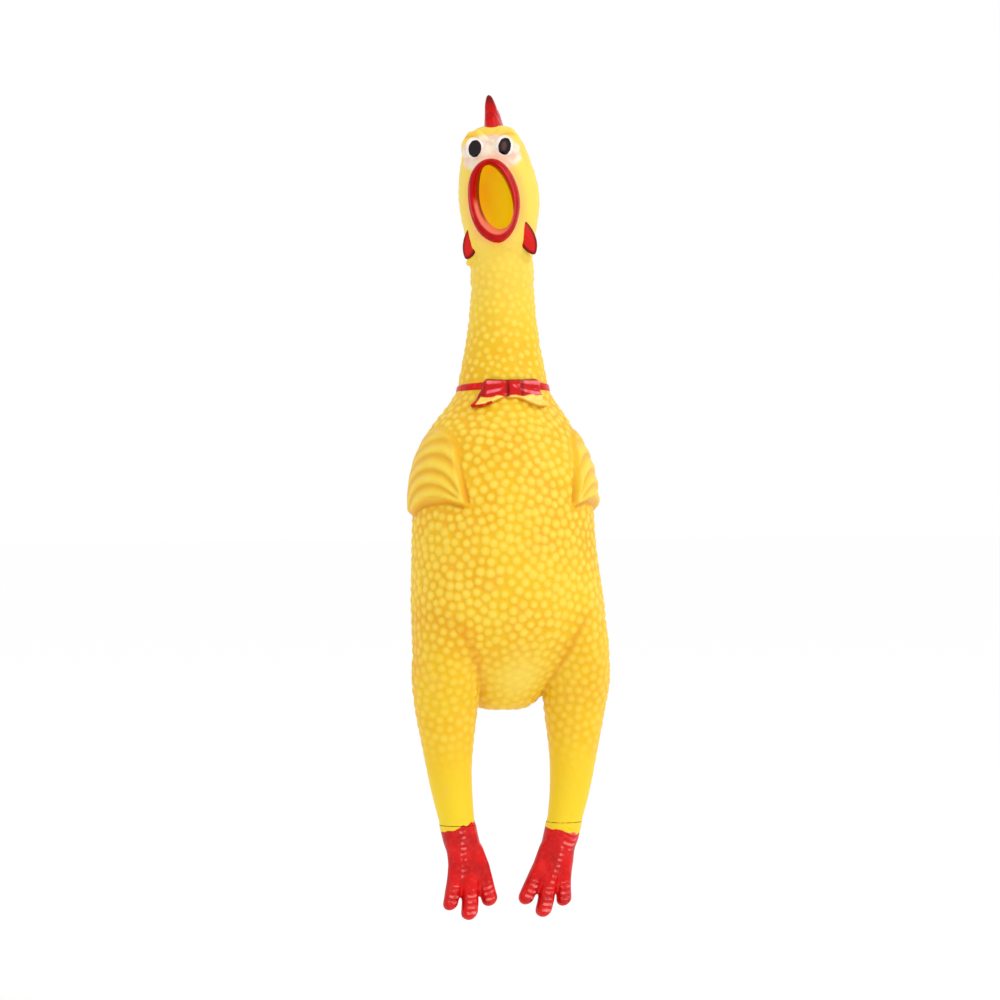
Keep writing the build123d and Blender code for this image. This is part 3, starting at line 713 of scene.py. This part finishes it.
# Section of the lip: share of the way from outer to inner edge, and how far behind the muzzle's front.
LIP_SECTION = [
    (-0.02, 2.6), (-0.07, 0.8), (-0.02, -0.8), (0.16, -2.0), (0.42, -2.3), (0.66, -1.5),
    (0.84, -0.2), (0.97, 1.6), (1.02, 3.8), (0.60, 4.4), (0.2, 4.0),
]


def lip_edges(t):
    """The lip's outer and inner edge at an angle: an oval, and an egg that leans and is widest low down."""
    wave = 0.10 * math.sin(3 * t + 0.6) + 0.08 * math.sin(5 * t + 2.0)
    outer = np.array([(LIP_OUTER[0] + wave) * math.cos(t), (LIP_OUTER[1] + wave) * math.sin(t)])
    outer[0] -= 0.035 * outer[1]
    rise = LIP_INNER[1] * math.sin(t)
    reach = LIP_INNER[0] * (1 - 0.11 * math.sin(t)) * math.cos(t)
    inner = np.array([reach + 0.4 - 0.12 * rise, rise + 1.0])
    return outer + (MOUTH_U, MOUTH_H), inner + (MOUTH_U, MOUTH_H)


def make_lip():
    """The thick lip: a closed ring whose section rolls from the muzzle over the front and into the mouth."""
    section = round_curve(LIP_SECTION, LIP_ACROSS)
    points, inner_share, low, right = [], [], [], []
    for i in range(LIP_AROUND):
        t = 2 * math.pi * i / LIP_AROUND
        outer, inner = lip_edges(t)
        bottom = max(0.0, -math.sin(t + 0.15)) ** 1.2
        for share, y in section:
            across = outer + (inner - outer) * share
            points.append((across[0], MOUTH_FRONT + 0.1 + y * (1 - 0.12 * bottom), across[1]))
            inner_share.append(share if y < 3 else 1.0)
            low.append(bottom)
            right.append(math.cos(t))
    quads = []
    for i in range(LIP_AROUND):
        here, there = i * LIP_ACROSS, (i + 1) % LIP_AROUND * LIP_ACROSS
        for j in range(LIP_ACROSS):
            k = (j + 1) % LIP_ACROSS
            quads.append((there + j, there + k, here + k, here + j))
    attributes = {"inner": inner_share, "low": low, "right": right}
    return make_mesh("beak_lip", from_head(points), np.array(quads), attributes)


BOW_AXES = np.array(Matrix.Rotation(BOW_TURN, 3, "Z"))
BOW_RADIUS = 21.0  # of the arc that the bow's length is measured on
KNOT_PLACE, KNOT_HALF_WIDTH = 1.9, 2.7  # along that arc
KNOT_HEIGHT, KNOT_HALF_HEIGHT = 63.9, 3.5
PLEATS = 2.6  # in each half of the bow's height


def from_bow(points):
    return points @ BOW_AXES.T + (0, NECK_Y, 0)


def pleat_wave(up):
    return np.cos(PLEATS * np.pi * up + 0.4)


def bow_place(u, v, z):
    """A point's place along the bow, and its place up the bow from -1 at the hem to 1 at the top edge."""
    along = BOW_RADIUS * np.arctan2(u, -v)
    spread = smooth_step(np.abs(along), 1.5, 12)
    middle, half = 64.0 - 1.5 * spread, 3.4 + 1.9 * spread
    return along, (z - middle) / half, half


def bow_field(u, v, z):
    """The bow tie laid on the skin at the root of the neck: two pleated lobes and a knot."""
    along, up, half = bow_place(u, v, z)
    x = BOW_AXES[0, 0] * u + BOW_AXES[0, 1] * v
    y = BOW_AXES[1, 0] * u + BOW_AXES[1, 1] * v + NECK_Y
    skin = np.minimum(tube(x, y, z, BODY, end=5.0), tube(x, y, z, NECK))
    reach = np.where(along < 0, 15.0 - 0.40 * (z - 57.5), 14.6 - 0.10 * (z - 57.5))
    ends = (np.abs(along) - reach) * 0.9
    pleat = pleat_wave(up) * smooth_step(np.abs(along), 2, 6)
    roll = np.exp(-((np.abs(along) - reach + 1.6) / 1.1) ** 2)
    belly = smooth_step(np.abs(along), 1.0, 5.0)
    thick = 1.5 + 0.9 * belly + 0.42 * pleat + 0.55 * roll - 0.5 * (np.abs(up) > 0.9)
    sheet = np.maximum((np.abs(up) - 1) * half, ends)
    lobes = smooth_max(np.abs(skin - 0.4) - thick, sheet, 1.3)
    knot_up = (z - KNOT_HEIGHT) / KNOT_HALF_HEIGHT
    knot_side = np.abs(along - KNOT_PLACE) - KNOT_HALF_WIDTH
    knot_side = np.maximum(knot_side, (np.abs(knot_up) - 1) * KNOT_HALF_HEIGHT)
    knot = smooth_max(np.abs(skin) - 3.2 + 1.1 * knot_up ** 2, knot_side, 1.2)
    return np.where(v < 0, smooth_min(lobes, knot, 0.5), 9.0)


def make_bow():
    def attributes(points):
        """Where the paint ends, and its painted highlight, painted shade and bare stretches."""
        u, v, z = points.T
        along, up, half = bow_place(u, v, z)
        line = 61.3 - z + 0.3 * np.sin(0.9 * along) + 0.04 * along
        corner = along + 12.6 - 0.30 * (z - 58)
        hem = np.where(along < -7, np.abs(up + 0.92) * half - 0.45, 5.0)
        # Painted highlight: on the pleats' ridges and on the knot.
        ridges = (0.5 + 0.5 * pleat_wave(up)) * smooth_step(np.abs(along), 2, 5)
        knot = np.exp(-((along - KNOT_PLACE) / 1.5) ** 2) * (0.5 + 0.5 * np.cos(2.2 * z + along))
        # Painted shade: beside the knot, along the top edge, over the -X end and at the +X end.
        beside = np.exp(-((np.abs(along - KNOT_PLACE) - 3.0) / 0.7) ** 2)
        fold = smooth_step(-along, 9.6, 10.8) * (z > 60)
        top, end = smooth_step(up, 0.8, 0.95), smooth_step(along, 12.2, 13.6)
        return {
            "red": np.minimum(np.minimum(line, corner), hem),
            "crest": np.maximum(ridges * smooth_step(along, -10.5, -9), knot) * smooth_step(up, -0.6, 0.0),
            "dark": np.maximum.reduce([beside, top, 0.7 * fold, end]),
            # under: painted shade, orange, along the lower edge of the bare lobes.
            "under": smooth_step(-up, 0.82, 1.0),
        }
    return moulded("bow_tie_pleated", bow_field, (-18, -27, 54), (18, -4, 71), 0.36, attributes, from_bow)


def collar_field(x, y, z):
    """A flat band round the neck, a little lower at the back."""
    radius = np.sqrt(x * x + (y - NECK_Y) ** 2)
    seat = np.interp(z, [60, 66, 72], [17.2, 16.3, 15.4])
    return smooth_max(np.abs(radius - seat) - 1.1, np.abs(z - 65.0 + 0.06 * (y + 8)) - 1.5, 0.7)


def make_collar():
    return moulded("collar_ring", collar_field, (-20, -17, 61), (20, 23, 69), 0.5)


# ---- Materials ----
def colour(red, green, blue):
    """A display colour, 0 to 255, as the linear colour that sockets take."""
    def linear(c):
        c /= 255
        return c / 12.92 if c <= 0.04045 else ((c + 0.055) / 1.055) ** 2.4
    return (linear(red), linear(green), linear(blue), 1.0)


class Nodes:
    """Short ways to add nodes to one material."""

    def __init__(self, name):
        self.material = bpy.data.materials.new(name)
        self.material.use_nodes = True
        self.tree = self.material.node_tree
        self.shader = self.tree.nodes["Principled BSDF"]

    def put(self, socket, value):
        if isinstance(value, bpy.types.NodeSocket):
            self.tree.links.new(value, socket)
        else:
            socket.default_value = value

    def attribute(self, name, output="Fac"):
        node = self.tree.nodes.new("ShaderNodeAttribute")
        node.attribute_name = name
        return node.outputs[output]

    def math(self, kind, a, b=0.0):
        node = self.tree.nodes.new("ShaderNodeMath")
        node.operation = kind
        self.put(node.inputs[0], a)
        self.put(node.inputs[1], b)
        return node.outputs[0]

    def times(self, a, b):
        return self.math("MULTIPLY", a, b)

    def ramp(self, value, low, high, to_low=0.0, to_high=1.0):
        node = self.tree.nodes.new("ShaderNodeMapRange")
        node.interpolation_type = "SMOOTHSTEP"
        self.put(node.inputs["Value"], value)
        for key, number in (("From Min", low), ("From Max", high), ("To Min", to_low), ("To Max", to_high)):
            node.inputs[key].default_value = number
        return node.outputs["Result"]

    def mix(self, share, a, b):
        node = self.tree.nodes.new("ShaderNodeMix")
        node.data_type = "RGBA"
        self.put(node.inputs["Factor"], share)
        self.put(node.inputs["A"], a)
        self.put(node.inputs["B"], b)
        return node.outputs["Result"]

    def noise(self, scale, detail=2.0, where=None):
        """Noise over the piece's rest place, with scale in cycles per millimetre."""
        node = self.tree.nodes.new("ShaderNodeTexNoise")
        node.inputs["Scale"].default_value = scale
        node.inputs["Detail"].default_value = detail
        self.put(node.inputs["Vector"], where or self.attribute("rest", "Vector"))
        return node.outputs["Fac"]

    def ragged(self, scale, detail, much):
        """Noise about zero, that makes a painted edge ragged."""
        return self.times(self.math("SUBTRACT", self.noise(scale, detail), 0.5), much)

    def bump(self, height, depth_mm):
        node = self.tree.nodes.new("ShaderNodeBump")
        node.inputs["Distance"].default_value = depth_mm * MM
        self.put(node.inputs["Height"], height)
        return node.outputs["Normal"]

    def band(self, value, middle, low, high):
        """Where a value is near middle: a ramp on its distance from there."""
        return self.ramp(self.math("ABSOLUTE", self.math("SUBTRACT", value, middle)), low, high)

    def finish(self, base, rough, normal=None, soft=0.0, gloss=0.2):
        self.put(self.shader.inputs["Base Color"], base)
        self.put(self.shader.inputs["Roughness"], rough)
        if normal is not None:
            self.put(self.shader.inputs["Normal"], normal)
        self.shader.inputs["IOR"].default_value = 1.5
        self.shader.inputs["Specular IOR Level"].default_value = gloss
        if soft:
            self.shader.inputs["Subsurface Weight"].default_value = soft
            self.shader.inputs["Subsurface Radius"].default_value = (1.0, 0.45, 0.12)
            self.shader.inputs["Subsurface Scale"].default_value = 1.6 * MM
        return self.material


RED, RED_DARK, RED_PINK = colour(214, 10, 10), colour(160, 4, 6), colour(236, 84, 80)
ORANGE, YELLOW, PALE = colour(230, 174, 22), colour(236, 203, 38), colour(240, 210, 78)
# CREASE_SHADE is the orange of painted shade in creases.
CREASE_SHADE, NECK_PALE = colour(214, 136, 8), colour(240, 213, 94)


def red_paint_on(n, speck=0.5):
    """Red paint that is a little darker where it pooled and thinner in spots."""
    thin = n.ramp(n.noise(0.55, 3.0), 0.45, 0.75)
    deep = n.ramp(n.noise(0.16, 2.0), 0.35, 0.7)
    base = n.mix(n.times(deep, 0.55), RED, RED_DARK)
    return n.mix(n.times(thin, speck * 0.35), base, RED_PINK)


def vinyl_yellow(n):
    """Yellow vinyl: orange in the valleys, pale on the bumps, clearer yellow on legs and face; painted shade
    in the creases and on the -X flank, painted highlight on the wing's ridges.
    """
    blotch = n.ramp(n.noise(0.045, 2.0), 0.35, 0.68)
    # More orange where the skin's tone is warmer, and as painted shade on the -X flank.
    warm_and_side_shade = n.times(n.attribute("warm_and_side_shade"), n.math("ADD", 0.5, n.times(blotch, 0.5)))
    ground = n.mix(warm_and_side_shade, YELLOW, ORANGE)
    ground = n.mix(n.times(n.attribute("pale"), 0.85), ground, NECK_PALE)
    patch = n.ramp(n.noise(0.11, 2.0), 0.5, 0.8)
    ground = n.mix(n.times(patch, 0.35), ground, colour(240, 186, 70))
    # Paler where dome is high: on the goose bumps, and as painted highlight on the wing's ridges and rim.
    lift = n.ramp(n.attribute("dome"), 0.05, 1.1)
    lift = n.times(lift, n.math("ADD", 0.45, n.noise(0.16, 2.0)))
    lifted = n.mix(lift, ground, PALE)
    # Painted shade: the skin turns orange where the crease attribute marks shade.
    return n.mix(n.times(n.attribute("crease"), 0.75), lifted, CREASE_SHADE)


def skin_material():
    n = Nodes("moulded_yellow_vinyl")
    base = vinyl_yellow(n)
    rag = n.ragged(0.5, 3.0, 2.2)
    white_edge = n.math("ADD", n.attribute("face"), rag)
    white = n.ramp(white_edge, 0.9, -1.1)
    chalk = n.mix(n.ramp(n.noise(0.22, 2.0), 0.4, 0.65), colour(240, 228, 212), colour(236, 200, 184))
    base = n.mix(n.times(white, 0.9), base, chalk)
    flush = n.times(n.attribute("flush"), 0.5)
    base = n.mix(flush, base, colour(238, 150, 96))
    red_edge = n.math("ADD", n.attribute("red"), n.times(rag, 0.6))
    red = n.ramp(red_edge, 0.22, -0.12)
    # Painted highlight: pinkish white on the feet's scale bars.
    bars = n.times(n.ramp(n.attribute("bars"), 0.3, 1.0), n.ramp(n.noise(0.5, 2.0), 0.35, 0.65))
    # Painted shade: the red darkens where the surface turns sideways, at the feet's edges.
    paint = n.mix(n.times(n.attribute("side"), 0.6), red_paint_on(n), RED_DARK)
    paint_with_bar_highlights = n.mix(n.times(bars, 0.8), paint, colour(240, 128, 124))
    base = n.mix(red, base, paint_with_bar_highlights)
    rough = n.math("SUBTRACT", 0.42, n.times(red, 0.15))
    normal = n.bump(n.noise(1.6, 3.0), 0.05)
    return n.finish(base, rough, normal, soft=0.15)


def red_material():
    n = Nodes("red_paint")
    normal = n.bump(n.noise(0.9, 3.0), 0.10)
    rough = n.ramp(n.noise(0.7, 2.0), 0.3, 0.7, 0.22, 0.34)
    return n.finish(red_paint_on(n), rough, normal, soft=0.05, gloss=0.14)


def comb_material():
    n = Nodes("red_paint_comb")
    place = n.tree.nodes.new("ShaderNodeSeparateXYZ")
    n.put(place.inputs[0], n.attribute("rest", "Vector"))
    root = n.ramp(place.outputs["Z"], 166.0, 156.0)
    paint = n.mix(0.3, red_paint_on(n, 0.3), RED_DARK)
    base = n.mix(n.times(root, 0.35), paint, RED_PINK)
    tip = n.ramp(place.outputs["Z"], 169.0, 175.0)
    base = n.mix(n.times(tip, 0.85), base, colour(96, 6, 8))
    normal = n.bump(n.noise(0.9, 3.0), 0.10)
    return n.finish(base, 0.28, normal, soft=0.05, gloss=0.12)


def wattle_material():
    n = Nodes("red_paint_wattle")
    # Painted shade: the wattle darkens to deep red at its rim.
    base = n.mix(n.attribute("rim"), colour(208, 30, 26), colour(112, 4, 6))
    normal = n.bump(n.noise(1.1, 3.0), 0.12)
    return n.finish(base, n.ramp(n.noise(0.8), 0.3, 0.7, 0.25, 0.36), normal, soft=0.05, gloss=0.12)


def bow_material():
    n = Nodes("half_painted_bow")
    rag = n.ragged(0.45, 2.0, 1.0)
    red = n.ramp(n.math("ADD", n.attribute("red"), rag), 0.35, -0.25)
    # Painted highlight: pink on the pleats' ridges and the knot.
    crest = n.ramp(n.times(n.attribute("crest"), n.math("ADD", 0.5, n.noise(0.4))), 0.42, 1.0)
    paint = n.mix(crest, n.mix(0.3, RED, RED_DARK), colour(238, 112, 124))
    # Painted shade: deep red where the dark attribute marks shade.
    paint = n.mix(n.times(n.attribute("dark"), 0.8), paint, colour(120, 3, 6))
    bare = n.mix(n.ramp(n.noise(0.3), 0.35, 0.65), colour(240, 204, 80), colour(246, 222, 124))
    # Painted shade: orange along the lower edge of the bare lobes.
    bare = n.mix(n.times(n.attribute("under"), 0.7), bare, colour(214, 120, 20))
    base = n.mix(red, bare, paint)
    normal = n.bump(n.noise(0.8, 3.0), 0.12)
    return n.finish(base, n.ramp(red, 0, 1, 0.40, 0.22), normal, soft=0.05, gloss=0.2)


def lip_material():
    n = Nodes("red_gloss_lip")
    inner, low, right = n.attribute("inner"), n.attribute("low"), n.attribute("right")
    streak = n.ramp(n.noise(0.35, 2.0), 0.42, 0.66)
    base = n.mix(n.times(streak, 0.5), colour(172, 2, 4), colour(206, 12, 14))
    shine = n.times(n.band(inner, 0.42, 0.2, 0.02), n.ramp(right, 0.2, 0.75))
    base = n.mix(n.times(shine, 0.45), base, colour(236, 84, 96))
    # Painted highlight: a pinkish-white streak on the outer part of the lip's -X side.
    left_highlight = n.times(n.band(inner, 0.2, 0.1, 0.0), n.ramp(right, -0.8, -0.97))
    base = n.mix(n.times(left_highlight, 0.5), base, colour(236, 96, 100))
    # Painted light: the inner slope of the lower lip, which faces up, is made pale salmon.
    lit_lower_slope = n.times(n.ramp(inner, 0.46, 0.66), n.ramp(low, 0.02, 0.3))
    base = n.mix(n.times(lit_lower_slope, 0.92), base, colour(240, 124, 98))
    # Painted shade: dark red along the lip's inner edge, where it rolls into the mouth, fading at the
    # bottom.
    line = n.times(n.ramp(inner, 0.78, 0.95), n.ramp(low, 0.95, 0.5))
    base = n.mix(n.times(line, 0.85), base, colour(112, 4, 6))
    # Painted shade: darker red along the lip's outer edge against the muzzle.
    outside = n.ramp(inner, 0.08, -0.04)
    base = n.mix(n.times(outside, 0.5), base, RED_DARK)
    normal = n.bump(n.noise(0.6, 2.0), 0.12)
    return n.finish(base, 0.25, normal, soft=0.03, gloss=0.14)


def mouth_material():
    n = Nodes("sprayed_mouth_with_painted_shade")
    stretched = n.tree.nodes.new("ShaderNodeMapping")
    n.put(stretched.inputs["Vector"], n.attribute("rest", "Vector"))
    stretched.inputs["Scale"].default_value = (1.0, 1.0, 0.22)
    streak = n.ramp(n.noise(0.22, 2.0, stretched.outputs["Vector"]), 0.36, 0.66)
    # Painted light and shade: darker orange on the -X side of the hollow, lighter yellow on the +X side.
    base = n.mix(n.attribute("side"), colour(255, 176, 0), colour(255, 212, 3))
    base = n.mix(n.times(streak, 0.4), base, colour(255, 216, 14))
    return n.finish(base, 0.45, n.bump(n.noise(0.7, 2.0), 0.08), soft=0.1, gloss=0.08)


def eye_material():
    n = Nodes("painted_eye")
    rag = n.ragged(0.9, 2.0, 0.5)
    pupil = n.ramp(n.math("ADD", n.attribute("pupil"), rag), 0.14, -0.08)
    white = n.mix(n.ramp(n.noise(0.3), 0.35, 0.7), colour(244, 240, 232), colour(240, 220, 210))
    glint = n.ramp(n.math("ADD", n.attribute("glint"), rag), 0.5, -0.9)
    black = n.mix(n.times(glint, 0.55), colour(18, 6, 10), colour(112, 76, 72))
    base = n.mix(pupil, white, black)
    return n.finish(base, n.ramp(pupil, 0, 1, 0.30, 0.16), n.bump(n.noise(1.0, 2.0), 0.05), gloss=0.25)


def plastic_material(name, tint, rough):
    n = Nodes(name)
    grain = n.tree.nodes.new("ShaderNodeTexCoord").outputs["Object"]
    speck = n.noise(900.0, 3.0, grain)
    base = n.mix(n.ramp(speck, 0.3, 0.7), tint, tuple(0.86 * c for c in tint[:3]) + (1.0,))
    return n.finish(base, rough, n.bump(speck, 0.02), soft=0.05)


# ---- The model ----
def attach(piece, material, body, replaced):
    """Gives a piece its material, body and replaced nodes. The body may be a bend between two."""
    piece.data.materials.clear()
    piece.data.materials.append(material)
    if isinstance(body, str):
        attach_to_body(piece, body)
    else:
        first, second, axis, start, end = body
        points = [[0.0, 0.0, 0.0] for _ in range(2)]
        points[0][axis], points[1][axis] = start * MM, end * MM
        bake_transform(piece, first, second, start=tuple(points[0]), end=tuple(points[1]))
    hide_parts(*replaced)


def fade_dent(piece):
    """Lets the squeeze dent the breast alone: the dent fades out towards the collar and the crotch."""
    weights = piece.data.attributes["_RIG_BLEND"].data
    values = np.zeros(len(weights), np.float32)
    weights.foreach_get("value", values)
    places = np.zeros(3 * len(weights), np.float32)
    piece.data.attributes["rest"].data.foreach_get("vector", places)
    z = places.reshape(-1, 3)[:, 2]
    values *= smooth_step(z, -52, -26) * (1 - smooth_step(z, 36, 58))
    weights.foreach_set("value", values.astype(np.float32))


skin = make_skin()
VINYL = skin_material()
attach(skin["body_skin"], VINYL, ("torso", "breast", Y_AXIS, *BREAST_DENT),
       ("torso_skin", "breast_skin", "wing_left", "wing_right"))
fade_dent(skin["body_skin"])
attach(skin["neck_skin_lower"], VINYL, ("torso", "neck_lower", Z_AXIS, *NECK_BENDS["neck_bend"]),
       ("neck_lower_skin",))
attach(skin["neck_skin_upper"], VINYL, ("neck_lower", "neck_upper", Z_AXIS, *NECK_BENDS["neck_sway"]),
       ("neck_upper_skin",))
attach(skin["face_and_head_skin"], VINYL, ("neck_upper", "head", Z_AXIS, *NECK_BENDS["head_turn"]),
       ("head_skin",))
for side, _ in SIDES:
    upper, lower, foot = f"leg_upper_{side}", f"leg_lower_{side}", f"foot_{side}"
    hip = ("torso", upper, Z_AXIS, *LEG_BENDS["hip"])
    knee = (upper, lower, Z_AXIS, *LEG_BENDS["knee"])
    ankle = (lower, foot, Z_AXIS, *LEG_BENDS["ankle"])
    attach(skin[f"thigh_skin_{side}"], VINYL, hip, (upper,))
    attach(skin[f"knee_skin_{side}"], VINYL, knee, (lower,))
    attach(skin[f"shank_skin_{side}"], VINYL, ankle, (lower,))
    attach(skin[f"foot_skin_{side}"], VINYL, ankle, (foot,))

WATTLE_PAINT, EYE_PAINT = wattle_material(), eye_material()
comb = moulded("comb_serrated", comb_field, (-5, -13.5, 40), (5, 16, 71.5), 0.4, None, from_head)
attach(comb, comb_material(), "head", ("comb",))
attach(make_lip(), lip_material(), "head", ("beak_rim",))
attach(make_mouth(), mouth_material(), "head", ("mouth_lining",))
for side, sign in SIDES:
    attach(make_wattle(side, sign), WATTLE_PAINT, "head", (f"wattle_{side}",))
    attach(make_eye(side, sign), EYE_PAINT, "head", (f"eye_{side}",))
attach(make_bow(), bow_material(), "torso", ("bow_tie",))
attach(make_collar(), red_material(), "torso", ("collar_band",))

WHISTLE = plastic_material("whistle_plastic", colour(226, 224, 216), 0.4)
REED = plastic_material("reed_plastic", colour(208, 212, 214), 0.25)
for name, material in (
    ("whistle_housing", WHISTLE), ("reed_shoe", WHISTLE), ("reed_wedge", WHISTLE), ("reed_tongue", REED),
):
    frame["nodes"][name].data.materials.clear()
    frame["nodes"][name].data.materials.append(material)

# ---- Stage, light and camera ----
FLOOR_SIZE, FLOOR_DROP = 30, 0.06  # metres across, and below the feet
PAPER = Nodes("paper_white")
PAPER_SHADE = PAPER.mix(PAPER.noise(3.0, 2.0), colour(253, 253, 253), colour(255, 255, 255))
bpy.ops.mesh.primitive_plane_add(size=FLOOR_SIZE, location=(0, 0, CAD_BOX[0].z - FLOOR_DROP))
floor = bpy.context.object
floor.name = "floor"
floor.data.materials.append(PAPER.finish(PAPER_SHADE, 0.95, gloss=0.0))

world = bpy.data.worlds.new("white_room")
world.use_nodes = True
world.node_tree.nodes["Background"].inputs["Color"].default_value = (1, 1, 1, 1)
world.node_tree.nodes["Background"].inputs["Strength"].default_value = 1.0
bpy.context.scene.world = world
bpy.context.scene.view_settings.view_transform = "Standard"


def softbox(name, place, size, power):
    """A round lamp that points at the middle of the part."""
    light = bpy.data.lights.new(name, "AREA")
    light.shape, light.size, light.energy = "DISK", size, power
    made = bpy.data.objects.new(name, light)
    made.location = place
    made.rotation_mode = "QUATERNION"
    made.rotation_quaternion = (-Vector(place)).to_track_quat("-Z", "Y")
    bpy.context.scene.collection.objects.link(made)


KEY_PLACE, KEY_SIZE, KEY_POWER = (0.62, -0.9, 0.8), 0.4, 4.6
softbox("key_right", KEY_PLACE, KEY_SIZE, KEY_POWER)

CAMERA_AZIMUTH, CAMERA_ROLL = -15.0, -0.3
CAMERA_DISTANCE = 1.15
VIEW_HEIGHT = 0.3767  # metres that the picture shows at the target's distance
TARGET_HEIGHT, TARGET_LEFT = 0.0226, 0.0021
azimuth = math.radians(CAMERA_AZIMUTH)
back = Vector((math.sin(azimuth), -math.cos(azimuth), 0))
right = Vector((math.cos(azimuth), math.sin(azimuth), 0))
target = Vector((0, 0, TARGET_HEIGHT)) - right * TARGET_LEFT
camera = bpy.data.cameras.new("camera")
camera.sensor_width = 36
camera.lens = camera.sensor_width * CAMERA_DISTANCE / VIEW_HEIGHT
camera_object = bpy.data.objects.new("camera", camera)
camera_object.location = target + back * CAMERA_DISTANCE
facing = (-back).to_track_quat("-Z", "Y").to_matrix() @ Matrix.Rotation(math.radians(CAMERA_ROLL), 3, "Z")
camera_object.rotation_mode = "QUATERNION"
camera_object.rotation_quaternion = facing.to_quaternion()
bpy.context.scene.collection.objects.link(camera_object)
bpy.context.scene.camera = camera_object
